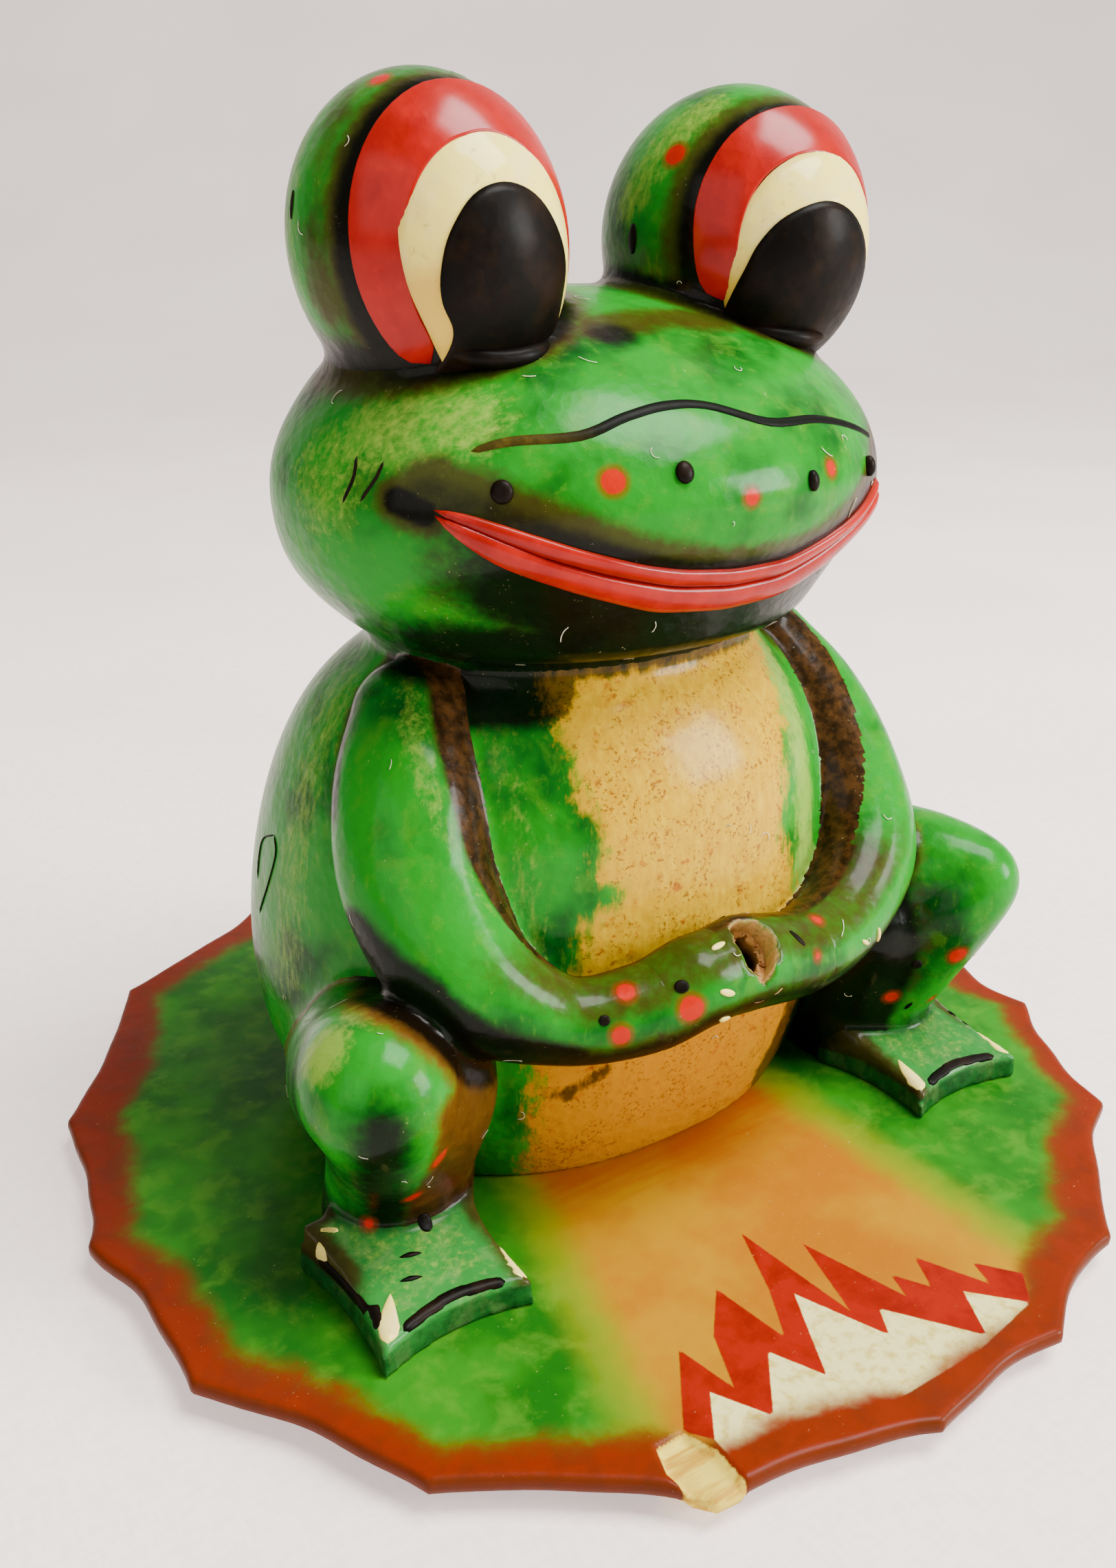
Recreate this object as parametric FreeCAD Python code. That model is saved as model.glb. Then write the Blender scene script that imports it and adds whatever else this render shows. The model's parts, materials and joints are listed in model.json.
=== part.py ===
# Papier-mache frog seated on a lily pad, hands clasped round a broken prop socket.
# Millimetres, +Z up.  The frog looks along -Y and its left side is +X.
# The origin is the centre of the pad's underside, where the figure rests on the shelf.
import FreeCAD, Part
import math
import os

os.makedirs("parts", exist_ok=True)
V = FreeCAD.Vector

# ---------------------------------------------------------------- driving dimensions
PAD_THICK = 5.0          # board under the figure
PAD_EDGE_DROP = 3.0      # chamfer that lifts the rim off the shelf
SCALLOP_DEPTH = 1.3      # how far each rim scallop is hollowed between its corners
WALL = 2.4               # paper wall of the body and the head
SOCKET_R = 2.6           # broken socket in the hands
LID_R = 2.5              # half thickness of the raised eyelid roll

# Rim corners of the pad: bearing in degrees from +X, distance from the centre.
RIM = [(-114, 74.6), (-94, 74.7), (-78, 74.3), (-63, 74.3), (-41, 73.8), (-20, 72.9), (-8, 71.2),
       (9, 72.6), (31, 73.4), (52, 74.2), (71, 73.2), (88, 74.6), (106, 75.6), (130, 75.0),
       (157, 71.8), (179, 70.8), (201, 72.8), (224, 74.0)]

# Level sections: height, half width, front, back, fullness of the corners (2 is an ellipse).
BODY = [(5, 34, -21.5, 36, 2.3), (14, 39.5, -24.5, 42.5, 2.2), (26, 41.2, -26.5, 45.5, 2.2),
        (38, 40.4, -27, 45, 2.2), (50, 37.8, -26.5, 42.3, 2.2), (60, 34, -24, 37, 2.2),
        (68, 28.3, -19, 29.5, 2.1), (74, 20, -13, 21, 2.0), (79, 15, -9, 16, 2.0)]
HEAD = [(70.5, 20, -15, 19, 2.1), (73, 27, -20.5, 23, 2.1), (78, 33.3, -25.2, 27.5, 2.1),
        (82, 36.3, -27.2, 29.5, 2.1), (87, 38.0, -30.6, 31, 2.1), (93.5, 37.8, -30.9, 31, 2.1),
        (100, 34.4, -27.6, 28.5, 2.1), (105.5, 28.8, -20, 24, 2.1), (109, 21.5, -12, 18.5, 2.1),
        (111, 13.5, -5, 13.5, 2.0), (111.9, 5.5, 1, 8, 2.0)]

# Eye mounds: centre, half sizes, sideways lean in degrees.
MOUND = {"right": (V(-20.8, 0.0, 116.6), (14.4, 16.0, 17.2), -8.0),
         "left": (V(22.7, 1.0, 117.2), (15.2, 17.0, 17.0), 8.0)}

# Limb lines: points the limb's middle runs through, with the half thickness at each.
ARM = [(28.5, -4, 65, 6.0), (31.6, -9, 57, 7.9), (32.8, -15, 48.5, 8.3), (30.4, -22.5, 40.8, 7.5),
       (22, -28.3, 36.0, 6.0)]
REACH = {"left": [(11.5, -31.8, 35.0, 5.4), (0.6, -33, 37.2, 5.8)],         # wrists and tips of the hands
         "right": [(13.5, -31.4, 35.0, 5.5), (7.0, -33.0, 36.9, 5.3)]}
WRIST_X = 12.5           # where the mitten hand begins
LEG = {"left": [(31.5, 4, 17, 10.6), (40, -11, 29.5, 10.2), (46.2, -26.5, 33.6, 7.4), (44, -27, 26, 7.9),
                (40, -17, 8, 7.8)],
       "right": [(31.5, 4, 15, 10.6), (38.8, -12, 24.5, 10.0), (44.0, -24.5, 31.0, 9.3),
                 (43.0, -26.5, 25, 9.0), (40.6, -20.5, 15.5, 8.0), (39, -17, 8, 7.8)]}
FOOT = [(51.5, -17), (51, -37), (31, -37), (28, -19)]     # plan corners of the left foot
TOE_THICK = 3.2          # foot at its claws
INSTEP_Z = 13.5          # where the foot meets the shin
TOE_WEB = (1.2, 1.7, 1.2, -1.0)                           # hollow of each foot edge between corners

# Broken prop socket in the left hand: a point on its line and the way out.
SOCKET_AT = V(0.6, -33.0, 37.4)
SOCKET_OUT = V(-0.10, -0.62, 0.78)
SOCKET_BELOW = 3.4       # how far the socket runs on behind SOCKET_AT


def superellipse(z, half, front, back, full, grow=0.0, n=28):
    mid, deep = (front + back) / 2.0, (back - front) / 2.0
    pts = []
    for i in range(n):
        a = 2 * math.pi * i / n
        c, s = math.cos(a), math.sin(a)
        pts.append(V(math.copysign(abs(c) ** (2.0 / full), c) * (half + grow),
                     mid + math.copysign(abs(s) ** (2.0 / full), s) * (deep + grow), z))
    curve = Part.BSplineCurve()
    curve.interpolate(pts, PeriodicFlag=True)
    return Part.Wire([curve.toShape()])


def form(table, grow=0.0):
    return Part.makeLoft([superellipse(*row, grow=grow) for row in table], True, False)


def front_of(table, x, z):
    """Y of the front of a sectioned form at the given X and height."""
    rows = sorted(table)
    for low, high in zip(rows[:-1], rows[1:]):
        if low[0] <= z <= high[0]:
            t = (z - low[0]) / (high[0] - low[0])
            row = [a + (b - a) * t for a, b in zip(low, high)]
            k = min(abs(x) / row[1], 1.0)
            return (row[2] + row[3]) / 2.0 - (row[3] - row[2]) / 2.0 * (1 - k ** row[4]) ** (1 / row[4])
    raise ValueError(z)


def limb(line, mirror=1):
    """A round limb through (x, y, z, half thickness) points, with domed ends."""
    pts = [V(x * mirror, y, z) for x, y, z, r in line]
    path = Part.BSplineCurve()
    path.interpolate(pts)
    ways = [path.tangent(path.parameter(p))[0] for p in pts]
    rings = [(p, w, row[3]) for p, w, row in zip(pts, ways, line)]
    for turn in (25, 50, 70, 84):
        c, s = math.cos(math.radians(turn)), math.sin(math.radians(turn))
        (p, w, r), (q, v, k) = (pts[0], ways[0], line[0][3]), (pts[-1], ways[-1], line[-1][3])
        rings.insert(0, (p - w * (r * s), w, r * c))
        rings.append((q + v * (k * s), v, k * c))
    return Part.makeLoft([Part.Wire([Part.makeCircle(r, p, w)]) for p, w, r in rings], True, False)


def ellipsoid(centre, sizes, lean):
    m = FreeCAD.Matrix()
    m.scale(sizes[0], sizes[1], sizes[2])
    ball = Part.makeSphere(1.0).transformGeometry(m)
    ball.rotate(V(0, 0, 0), V(0, 1, 0), lean)
    ball.translate(centre)
    return ball


def biggest(shape):
    return max(shape.Solids, key=lambda s: s.Volume)


def keep(node, shape):
    solid = biggest(shape)
    solid.exportStep("parts/%s.step" % node)
    print(node, round(solid.Volume), "mm3", solid.isValid(), len(shape.Solids))
    return solid


# ---------------------------------------------------------------- lily pad
corners = [V(r * math.cos(math.radians(a)), r * math.sin(math.radians(a)), 0) for a, r in RIM]
edges = []
for a, b in zip(corners, corners[1:] + corners[:1]):
    mid = (a + b) * 0.5
    hollow = mid * (1 - SCALLOP_DEPTH / mid.Length)
    edges.append(Part.Arc(a, hollow, b).toShape())
pad = Part.Face(Part.Wire(edges)).extrude(V(0, 0, PAD_THICK))
under = [e for e in pad.Edges if e.BoundBox.ZMax < 0.01]
pad = pad.makeChamfer(PAD_EDGE_DROP, under)
pad = pad.makeFillet(0.8, [e for e in pad.Edges if e.BoundBox.ZMin > PAD_THICK - 0.01])
keep("lily_pad", pad)

# ---------------------------------------------------------------- body and head shells
body = form(BODY)
body_in = form(BODY, -WALL)
body_shell = keep("body_shell", body.cut(body_in))
head = form(HEAD)
middle = (HEAD[0][0] + HEAD[-1][0]) / 2.0
squash = 1 - 2 * WALL / (HEAD[-1][0] - HEAD[0][0])
head_in = form([(middle + (row[0] - middle) * squash,) + row[1:] for row in HEAD[1:-1]],
               -WALL)
head_shell = keep("head_shell", head.cut(head_in).cut(body))


# ---------------------------------------------------------------- eyes
def oval_prism(x, z, half, high, lean, back=40.0):
    """An upright oval seen from the front, carried back through the eye mound."""
    oval = Part.Ellipse(V(0, 0, 0), high, half) if high > half else Part.Ellipse(V(0, 0, 0), half, high)
    face = Part.Face(Part.Wire([oval.toShape()]))
    if high > half:
        face.rotate(V(0, 0, 0), V(0, 0, 1), 90)
    face.rotate(V(0, 0, 0), V(1, 0, 0), 90)
    face.rotate(V(0, 0, 0), V(0, 1, 0), lean)
    face.translate(V(x, -back, z))
    return face.extrude(V(0, back, 0))


def on_mound(side, x, z, out=0.0):
    """Point of a mound's front skin at the given X and height."""
    centre, size, lean = MOUND[side]
    a = math.radians(-lean)
    dx, dz = x - centre.x, z - centre.z
    u, w = dx * math.cos(a) + dz * math.sin(a), -dx * math.sin(a) + dz * math.cos(a)
    k = 1 - (u / size[0]) ** 2 - (w / size[2]) ** 2
    return V(x, centre.y - size[1] * math.sqrt(max(k, 0.02)) - out, z)


# Eye: oval centre, half width, half height; pupil the same; then the bearings, in degrees
# from the outer side over the top, at which the lid roll starts and ends.
EYE = {"right": ((-20.6, 115.5), 9.8, 12.0, (-20.2, 112.6), 6.6, 8.4, -50, 195),
       "left": ((21.6, 115.5), 9.2, 11.0, (22.6, 112.8), 6.3, 7.8, -50, 195)}

for side, (spot, half, high, pupil, p_half, p_high, start, stop) in EYE.items():
    centre, size, tilt = MOUND[side]
    out = -1 if side == "right" else 1
    mound = keep(side + "_eye_mound", ellipsoid(centre, size, tilt).cut(head))
    swell = [ellipsoid(centre, [v + d for v in size], tilt) for d in (1.1, 2.0)]
    iris = oval_prism(pupil[0], pupil[1], p_half, p_high, tilt)
    ball = oval_prism(spot[0], spot[1], half, high, tilt).common(swell[0]).cut(mound).cut(head)
    black = iris.common(swell[1]).cut(mound).cut(head)
    ball = ball.cut(black)
    line = []
    for i in range(13):
        a = math.radians(start + (stop - start) * i / 12.0)
        c, s = out * math.cos(a) * (half + 1.6), math.sin(a) * (high + 1.6)
        b = math.radians(-tilt)
        x, z = spot[0] + c * math.cos(b) - s * math.sin(b), spot[1] + c * math.sin(b) + s * math.cos(b)
        p = on_mound(side, x, z)
        line.append((p.x, p.y, p.z, LID_R * (0.62 if i in (0, 12) else 1.0)))
    lid = limb(line).cut(mound).cut(head).cut(ball).cut(black)
    keep(side + "_eyeball", ball)
    keep(side + "_pupil", black)
    keep(side + "_eyelid", lid)

# ---------------------------------------------------------------- mouth
# Lip lines from the right corner to the left one: X, height, half thickness.
UPPER = [(-31.5, 92.9, 0.8), (-26, 90.3, 1.3), (-18.5, 87.5, 1.6), (-8, 84.7, 1.7), (0, 83.6, 1.7),
         (8, 83.6, 1.7), (17, 85.9, 1.6), (25, 89.2, 1.3), (31.5, 92.6, 0.8)]
LOWER = [(-30.5, 91.3, 0.8), (-26, 88.0, 1.3), (-18.5, 84.7, 1.6), (-8, 81.9, 1.8), (0, 80.9, 1.8),
         (8, 80.9, 1.8), (17, 83.1, 1.6), (25, 86.9, 1.3), (30.5, 90.9, 0.8)]
LIP_OUT = 0.25                   # how far the lip lines stand off the head
upper, lower = [limb([(x, front_of(HEAD, x, z) - LIP_OUT, z, r) for x, z, r in rows])
                for rows in (UPPER, LOWER)]
upper = upper.cut(head)
lower = lower.cut(head).cut(upper)
keep("upper_lip", upper)
keep("lower_lip", lower)

# ---------------------------------------------------------------- arms, legs and feet
def half_space(x, side):
    """Everything on the outer side of the wrist plane, on the frog's left (1) or right (-1)."""
    return Part.makeBox(80, 90, 90, V(x if side > 0 else -x - 80, -70, 0))


SOCKET_OUT.normalize()
socket = Part.makeCylinder(SOCKET_R, 30, SOCKET_AT - SOCKET_OUT * SOCKET_BELOW, SOCKET_OUT)
limbs = {}
for side, k in (("left", 1), ("right", -1)):
    whole = limb(ARM + REACH[side], k).cut(body)
    if side == "right":
        whole = whole.cut(limbs["left_hand"]).cut(socket)
    outer = half_space(WRIST_X, k)
    limbs[side + "_arm"] = keep(side + "_arm", whole.common(outer))
    hand = whole.cut(outer)
    limbs[side + "_hand"] = keep(side + "_hand", hand.cut(socket) if side == "left" else hand)


def sole(k, z, size):
    """Outline of a foot at one height; the middle of the shin stays put as it shrinks."""
    ankle = V(40 * k, -27.5, z)
    plan = [ankle + (V(x * k, y, z) - ankle) * size for x, y in FOOT]
    arcs = []
    for a, b, web in zip(plan, plan[1:] + plan[:1], TOE_WEB):
        mid = (a + b) * 0.5
        inward = V(ankle.x - mid.x, ankle.y - mid.y, 0).normalize()
        arcs.append(Part.Arc(a, mid + inward * (web * size), b).toShape())
    return Part.Wire(arcs)


for side, k in (("right", -1), ("left", 1)):
    plate = Part.makeLoft([sole(k, PAD_THICK, 1.0), sole(k, PAD_THICK + TOE_THICK, 0.985)], True, True)
    instep = Part.makeLoft([sole(k, PAD_THICK + TOE_THICK, 0.985), sole(k, INSTEP_Z, 0.55)], True, True)
    foot = keep(side + "_foot", plate.fuse(instep).cut(body))
    keep(side + "_leg", limb(LEG[side], k).cut(body).cut(pad).cut(foot).cut(limbs[side + "_arm"]))
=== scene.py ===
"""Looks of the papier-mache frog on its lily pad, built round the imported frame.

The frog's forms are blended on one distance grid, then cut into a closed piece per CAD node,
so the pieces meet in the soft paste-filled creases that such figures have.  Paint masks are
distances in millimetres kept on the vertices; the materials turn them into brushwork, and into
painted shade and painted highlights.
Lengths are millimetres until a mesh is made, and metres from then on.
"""

import json
import math

import bmesh
import bpy
import numpy as np
import openvdb
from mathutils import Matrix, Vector
from mathutils.bvhtree import BVHTree


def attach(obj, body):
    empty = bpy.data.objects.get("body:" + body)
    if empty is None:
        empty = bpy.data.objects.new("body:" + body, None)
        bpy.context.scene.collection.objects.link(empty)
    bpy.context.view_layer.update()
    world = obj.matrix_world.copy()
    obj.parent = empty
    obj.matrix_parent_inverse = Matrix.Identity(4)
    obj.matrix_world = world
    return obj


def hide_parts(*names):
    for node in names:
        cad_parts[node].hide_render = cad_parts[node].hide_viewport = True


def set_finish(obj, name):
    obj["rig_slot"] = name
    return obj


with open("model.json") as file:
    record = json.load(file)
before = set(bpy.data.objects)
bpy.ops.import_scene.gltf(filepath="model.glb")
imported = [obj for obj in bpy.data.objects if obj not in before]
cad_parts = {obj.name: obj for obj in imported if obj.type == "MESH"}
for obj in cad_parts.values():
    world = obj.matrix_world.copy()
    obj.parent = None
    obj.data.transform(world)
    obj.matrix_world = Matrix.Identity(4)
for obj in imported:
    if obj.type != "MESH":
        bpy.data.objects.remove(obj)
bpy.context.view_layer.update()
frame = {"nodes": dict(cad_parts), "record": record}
MM = 0.001

# ---------------------------------------------------------------- forms, in millimetres
VOX = 0.55                       # grid step
LOW = np.array([-62.0, -47.0, 3.0])
HIGH = np.array([62.0, 54.0, 138.0])
BAND = 14.0                      # how far from a surface its distance is known
PAD_TOP = 5.0

ARM = {"left": [(28.5, -4, 65, 6.0), (31.6, -9, 57, 7.9), (32.8, -15, 48.5, 8.3), (30.4, -22.5, 40.8, 7.5),
                (22, -28.3, 36.0, 6.0), (11.5, -31.8, 35.0, 5.4), (0.6, -33, 37.2, 5.8)],
       "right": [(27.0, -4.6, 65, 7.2), (30.2, -9.4, 57, 9.0), (32.3, -15, 48.5, 8.8),
                 (30.2, -22.5, 39.8, 7.6), (22, -28.3, 34.7, 5.2), (13, -31.6, 34.8, 5.3),
                 (6.5, -33.0, 36.9, 5.5)]}
WRIST_X = 12.5
LEG = {"left": [(31.5, 4, 17, 10.6), (40, -11, 29.5, 10.2), (43.6, -20.5, 33.2, 8.8),
                 (47.2, -29.4, 34.6, 5.4),
                (44.6, -27.0, 29.5, 6.9), (42.4, -23, 22, 7.4), (41, -18.5, 13.5, 7.6), (40, -16, 7, 7.6)],
       "right": [(31.5, 4, 15, 10.6), (38.4, -12, 24.5, 10.0), (43.2, -24.0, 31.4, 8.8),
                 (42.3, -24.0, 26.8, 7.7), (40.3, -18.4, 17.5, 6.8), (39.3, -14.5, 7, 7.2)]}
CALF = [(36, -10, 26, 9.0), (35.2, -19.3, 26.8, 8.6), (35.4, -16.6, 16, 7.6), (36.5, -15, 7, 7.4)]
MOUND = {"right": ((-20.8, 0.0, 116.6), (14.4, 16.0, 17.2), -8.0),
         "left": ((22.7, 1.0, 117.2), (15.2, 17.0, 17.0), 8.0)}
SIDES = {"right": -1, "left": 1}


# ---------------------------------------------------------------- distance grids
SHAPE = tuple(int(n) for n in np.ceil((HIGH - LOW) / VOX))
AXES = [(LOW[i] + VOX * np.arange(SHAPE[i])).astype(np.float32) for i in range(3)]


def far_field():
    return np.full(SHAPE, BAND, np.float32)


def window(low, high):
    """Slices of the grid that cover a box, and the coordinates in it, ready to broadcast."""
    cut = []
    for i in range(3):
        a = int(np.clip(math.floor((low[i] - LOW[i]) / VOX), 0, SHAPE[i] - 1))
        b = int(np.clip(math.ceil((high[i] - LOW[i]) / VOX) + 1, a + 1, SHAPE[i]))
        cut.append(slice(a, b))
    x, y, z = (AXES[i][cut[i]] for i in range(3))
    return tuple(cut), x[:, None, None], y[None, :, None], z[None, None, :]


def smooth_min(a, b, k):
    h = np.clip(0.5 + 0.5 * (b - a) / k, 0, 1)
    return b + (a - b) * h - k * h * (1 - h)


def smooth_max(a, b, k):
    return -smooth_min(-a, -b, k)


def segment_distance(x, y, z, a, b):
    """Distance minus the tapering half thickness, from points to one limb segment."""
    (ax, ay, az, ar), (bx, by, bz, br) = a, b
    dx, dy, dz = bx - ax, by - ay, bz - az
    length = max(dx * dx + dy * dy + dz * dz, 1e-9)
    t = np.clip(((x - ax) * dx + (y - ay) * dy + (z - az) * dz) / length, 0, 1)
    gap = np.sqrt((x - ax - t * dx) ** 2 + (y - ay - t * dy) ** 2 + (z - az - t * dz) ** 2)
    return gap - (ar + t * (br - ar))


def spline(points, steps=12):
    """Catmull-Rom points through a list of rows."""
    p = np.array(points, float)
    p = np.vstack([2 * p[0] - p[1], p, 2 * p[-1] - p[-2]])
    out = []
    for i in range(1, len(p) - 2):
        for s in range(steps):
            t = s / steps
            out.append(0.5 * (2 * p[i] + (p[i + 1] - p[i - 1]) * t
                              + (2 * p[i - 1] - 5 * p[i] + 4 * p[i + 1] - p[i + 2]) * t * t
                              + (3 * p[i] - p[i - 1] - 3 * p[i + 1] + p[i + 2]) * t ** 3))
    out.append(p[-2])
    return np.array(out)


def limb_rows(line, mirror):
    rows = spline(line)
    rows[:, 0] *= mirror
    return rows


def limb_field(rows):
    field = far_field()
    for a, b in zip(rows[:-1], rows[1:]):
        low = np.minimum(a[:3], b[:3]) - max(a[3], b[3]) - BAND
        high = np.maximum(a[:3], b[:3]) + max(a[3], b[3]) + BAND
        cut, x, y, z = window(low, high)
        field[cut] = np.minimum(field[cut], segment_distance(x, y, z, a, b))
    return field


def ellipsoid_distance(x, y, z, centre, size, lean=0.0):
    c, s = math.cos(math.radians(lean)), math.sin(math.radians(lean))
    u, v, w = x - centre[0], y - centre[1], z - centre[2]
    u, w = u * c - w * s, u * s + w * c
    k0 = np.sqrt((u / size[0]) ** 2 + (v / size[1]) ** 2 + (w / size[2]) ** 2)
    k1 = np.sqrt((u / size[0] ** 2) ** 2 + (v / size[1] ** 2) ** 2 + (w / size[2] ** 2) ** 2)
    return k0 * (k0 - 1) / np.maximum(k1, 1e-6)


def ellipsoid_field(centre, size, lean=0.0):
    field = far_field()
    reach = np.array([max(size[0], size[2]), size[1], max(size[0], size[2])]) + BAND
    cut, x, y, z = window(np.array(centre) - reach, np.array(centre) + reach)
    field[cut] = np.minimum(field[cut], ellipsoid_distance(x, y, z, centre, size, lean))
    return field


def node_field(name):
    """Distance to the hull of a CAD node, so its hollow counts as filled."""
    mesh = bmesh.new()
    mesh.from_mesh(frame["nodes"][name].data)
    found = bmesh.ops.convex_hull(mesh, input=mesh.verts)
    inner = [v for v in found["geom_interior"] if isinstance(v, bmesh.types.BMVert)]
    bmesh.ops.delete(mesh, geom=inner, context="VERTS")
    keep = {f for f in found["geom"] if isinstance(f, bmesh.types.BMFace)}
    bmesh.ops.delete(mesh, geom=[f for f in mesh.faces if f not in keep], context="FACES_ONLY")
    bmesh.ops.triangulate(mesh, faces=mesh.faces)
    mesh.verts.index_update()
    points = np.array([v.co for v in mesh.verts], np.float32) / MM
    faces = np.array([[v.index for v in f.verts] for f in mesh.faces], np.uint32)
    mesh.free()
    scale = openvdb.createLinearTransform(voxelSize=VOX)
    grid = openvdb.FloatGrid.createLevelSetFromPolygons(
        (points - LOW.astype(np.float32)), triangles=faces, transform=scale, halfWidth=BAND / VOX)
    field = far_field()
    grid.copyToArray(field)
    return np.ascontiguousarray(field)


def sample(field, points):
    """Trilinear reading of a grid at points."""
    g = np.clip((points - LOW) / VOX, 0, np.array(SHAPE) - 1.001)
    i = g.astype(int)
    f = g - i
    total = np.zeros(len(points))
    for dx in (0, 1):
        for dy in (0, 1):
            for dz in (0, 1):
                w = (np.where(dx, f[:, 0], 1 - f[:, 0]) * np.where(dy, f[:, 1], 1 - f[:, 1])
                     * np.where(dz, f[:, 2], 1 - f[:, 2]))
                total += w * field[i[:, 0] + dx, i[:, 1] + dy, i[:, 2] + dz]
    return total


def skin_of(field):
    """Points and faces of a field's zero surface, in millimetres."""
    grid = openvdb.FloatGrid()
    grid.background = float(BAND)
    grid.copyFromArray(np.ascontiguousarray(field, dtype=np.float32))
    grid.transform = openvdb.createLinearTransform(voxelSize=VOX)
    points, tris, quads = grid.convertToPolygons(isovalue=0.0, adaptivity=0.0)
    return points.astype(float) + LOW, [tuple(q) for q in quads] + [tuple(t) for t in tris]


def to_outline(u, v, outline):
    """Signed distance in a plane to a closed outline, less than nothing inside."""
    near = np.full(len(u), 99.0)
    inside = np.zeros(len(u), bool)
    n = len(outline)
    for i in range(n):
        (ax, ay), (bx, by) = outline[i], outline[(i + 1) % n]
        dx, dy = bx - ax, by - ay
        t = np.clip(((u - ax) * dx + (v - ay) * dy) / max(dx * dx + dy * dy, 1e-9), 0, 1)
        near = np.minimum(near, np.hypot(u - ax - t * dx, v - ay - t * dy))
        if ay != by:
            cross = ((ay > v) != (by > v)) & (u < ax + (v - ay) * dx / dy)
            inside ^= cross
    return np.where(inside, -near, near)


# ---------------------------------------------------------------- pieces
pieces = {}


def make_piece(name, points, faces, node=None, slot=None, masks=None):
    mesh = bpy.data.meshes.new(name)
    mesh.from_pydata((np.asarray(points) * MM).tolist(), [], [tuple(int(i) for i in f) for f in faces])
    mesh.update()
    for label, values in (masks or {}).items():
        mesh.attributes.new(label, "FLOAT", "POINT").data.foreach_set("value", values.astype(np.float32))
    mesh.shade_smooth()
    piece = bpy.data.objects.new(name, mesh)
    bpy.context.scene.collection.objects.link(piece)
    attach(piece, "root")
    if node:
        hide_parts(node)
    if slot:
        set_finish(piece, slot)
    pieces[name] = piece
    return piece


# ---------------------------------------------------------------- the frog's forms
def socket_frame():
    """Middle, outward way, sideways and upward ways of the hole in the left hand."""
    mount = next(m for m in frame["record"]["mounts"] if m["name"] == "prop_socket")
    middle = np.array(mount["pos_m"]) / MM
    out = np.array(mount["axis"])
    out = out / np.linalg.norm(out)
    side = np.cross((0, 0, 1), out)
    side /= np.linalg.norm(side)
    return middle, out, side, np.cross(out, side)


HOLE_AT, HOLE_OUT, HOLE_SIDE, HOLE_UP = socket_frame()
HOLE_HALF = (2.5, 3.7)           # half width and half height of the torn hole
HOLE_DEEP = 4.6


def hole_distance(x, y, z):
    """Distance to the torn hole's wall, less than nothing inside the hole."""
    u = (x - HOLE_AT[0]) * HOLE_SIDE[0] + (y - HOLE_AT[1]) * HOLE_SIDE[1] + (z - HOLE_AT[2]) * HOLE_SIDE[2]
    v = (x - HOLE_AT[0]) * HOLE_UP[0] + (y - HOLE_AT[1]) * HOLE_UP[1] + (z - HOLE_AT[2]) * HOLE_UP[2]
    w = (x - HOLE_AT[0]) * HOLE_OUT[0] + (y - HOLE_AT[1]) * HOLE_OUT[1] + (z - HOLE_AT[2]) * HOLE_OUT[2]
    turn = np.arctan2(v, u)
    ragged = 1 + 0.06 * np.sin(3 * turn + 1.0) + 0.04 * np.sin(7 * turn) + 0.03 * np.sin(11 * turn + 2)
    ring = (np.sqrt((u / HOLE_HALF[0]) ** 2 + (v / HOLE_HALF[1]) ** 2) / ragged - 1) * HOLE_HALF[0]
    return np.maximum(ring, -(w + HOLE_DEEP))


FOOT = [(51.5, -17), (50.8, -37.8), (31.2, -37.4), (29.5, -19.5)]
TOE_WEB = (1.2, 1.9, 1.4, -1.0)
FOOT_MIDDLE = (39.5, -27)        # where the web edges are hollowed towards
FOOT_STEPS = 8                   # points along each edge
TOE_TOP = 8.5                    # top of the foot at its claws
FOOT_RISE = 0.17                 # how much it rises towards the shin, per millimetre


def foot_outline(k):
    """Plan of a foot, its edges bowed in between the claws."""
    out = []
    for i, web in enumerate(TOE_WEB):
        (ax, ay), (bx, by) = FOOT[i], FOOT[(i + 1) % 4]
        mx, my = FOOT_MIDDLE[0] - (ax + bx) / 2, FOOT_MIDDLE[1] - (ay + by) / 2
        far = math.hypot(mx, my)
        for s in range(FOOT_STEPS):
            t = s / FOOT_STEPS
            bow = 4 * t * (1 - t) * web / far
            out.append(((ax + (bx - ax) * t + mx * bow) * k, ay + (by - ay) * t + my * bow))
    return out


def foot_field(k):
    field = far_field()
    cut, x, y, z = window((min(27 * k, 53 * k) - 6, -45, 3), (max(27 * k, 53 * k) + 6, -8, 26))
    u, v = np.broadcast_arrays(x[:, :, 0], y[:, :, 0])
    plan = to_outline(u.ravel(), v.ravel(), foot_outline(k)).reshape(u.shape)
    lift = 0.5 * np.clip(1.5 + plan, 0, 1.5)
    top = TOE_TOP + FOOT_RISE * (v + 37) + lift * 0.5
    solid = smooth_max(plan[:, :, None] + 0.25 * (z - PAD_TOP) / 3, z - top[:, :, None], 1.3)
    field[cut] = np.minimum(field[cut], solid)
    return field


parts = {"body_shell": node_field("body_shell"), "head_shell": node_field("head_shell")}
muzzle = ellipsoid_field((0, -15.3, 92.0), (25, 16.6, 8.2))
parts["head_shell"] = smooth_min(parts["head_shell"], muzzle, 4.0)
del muzzle
limbs = {}
for side, k in SIDES.items():
    centre, size, lean = MOUND[side]
    parts[side + "_eye_mound"] = ellipsoid_field(centre, size, lean)
    limbs[side + "_arm"] = limb_rows(ARM[side], k)
    limbs[side + "_leg"] = limb_rows(LEG[side], k)
    parts[side + "_arm"] = limb_field(limbs[side + "_arm"])
    parts[side + "_leg"] = smooth_min(limb_field(limbs[side + "_leg"]), limb_field(limb_rows(CALF, k)), 3.0)
    parts[side + "_foot"] = foot_field(k)

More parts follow.
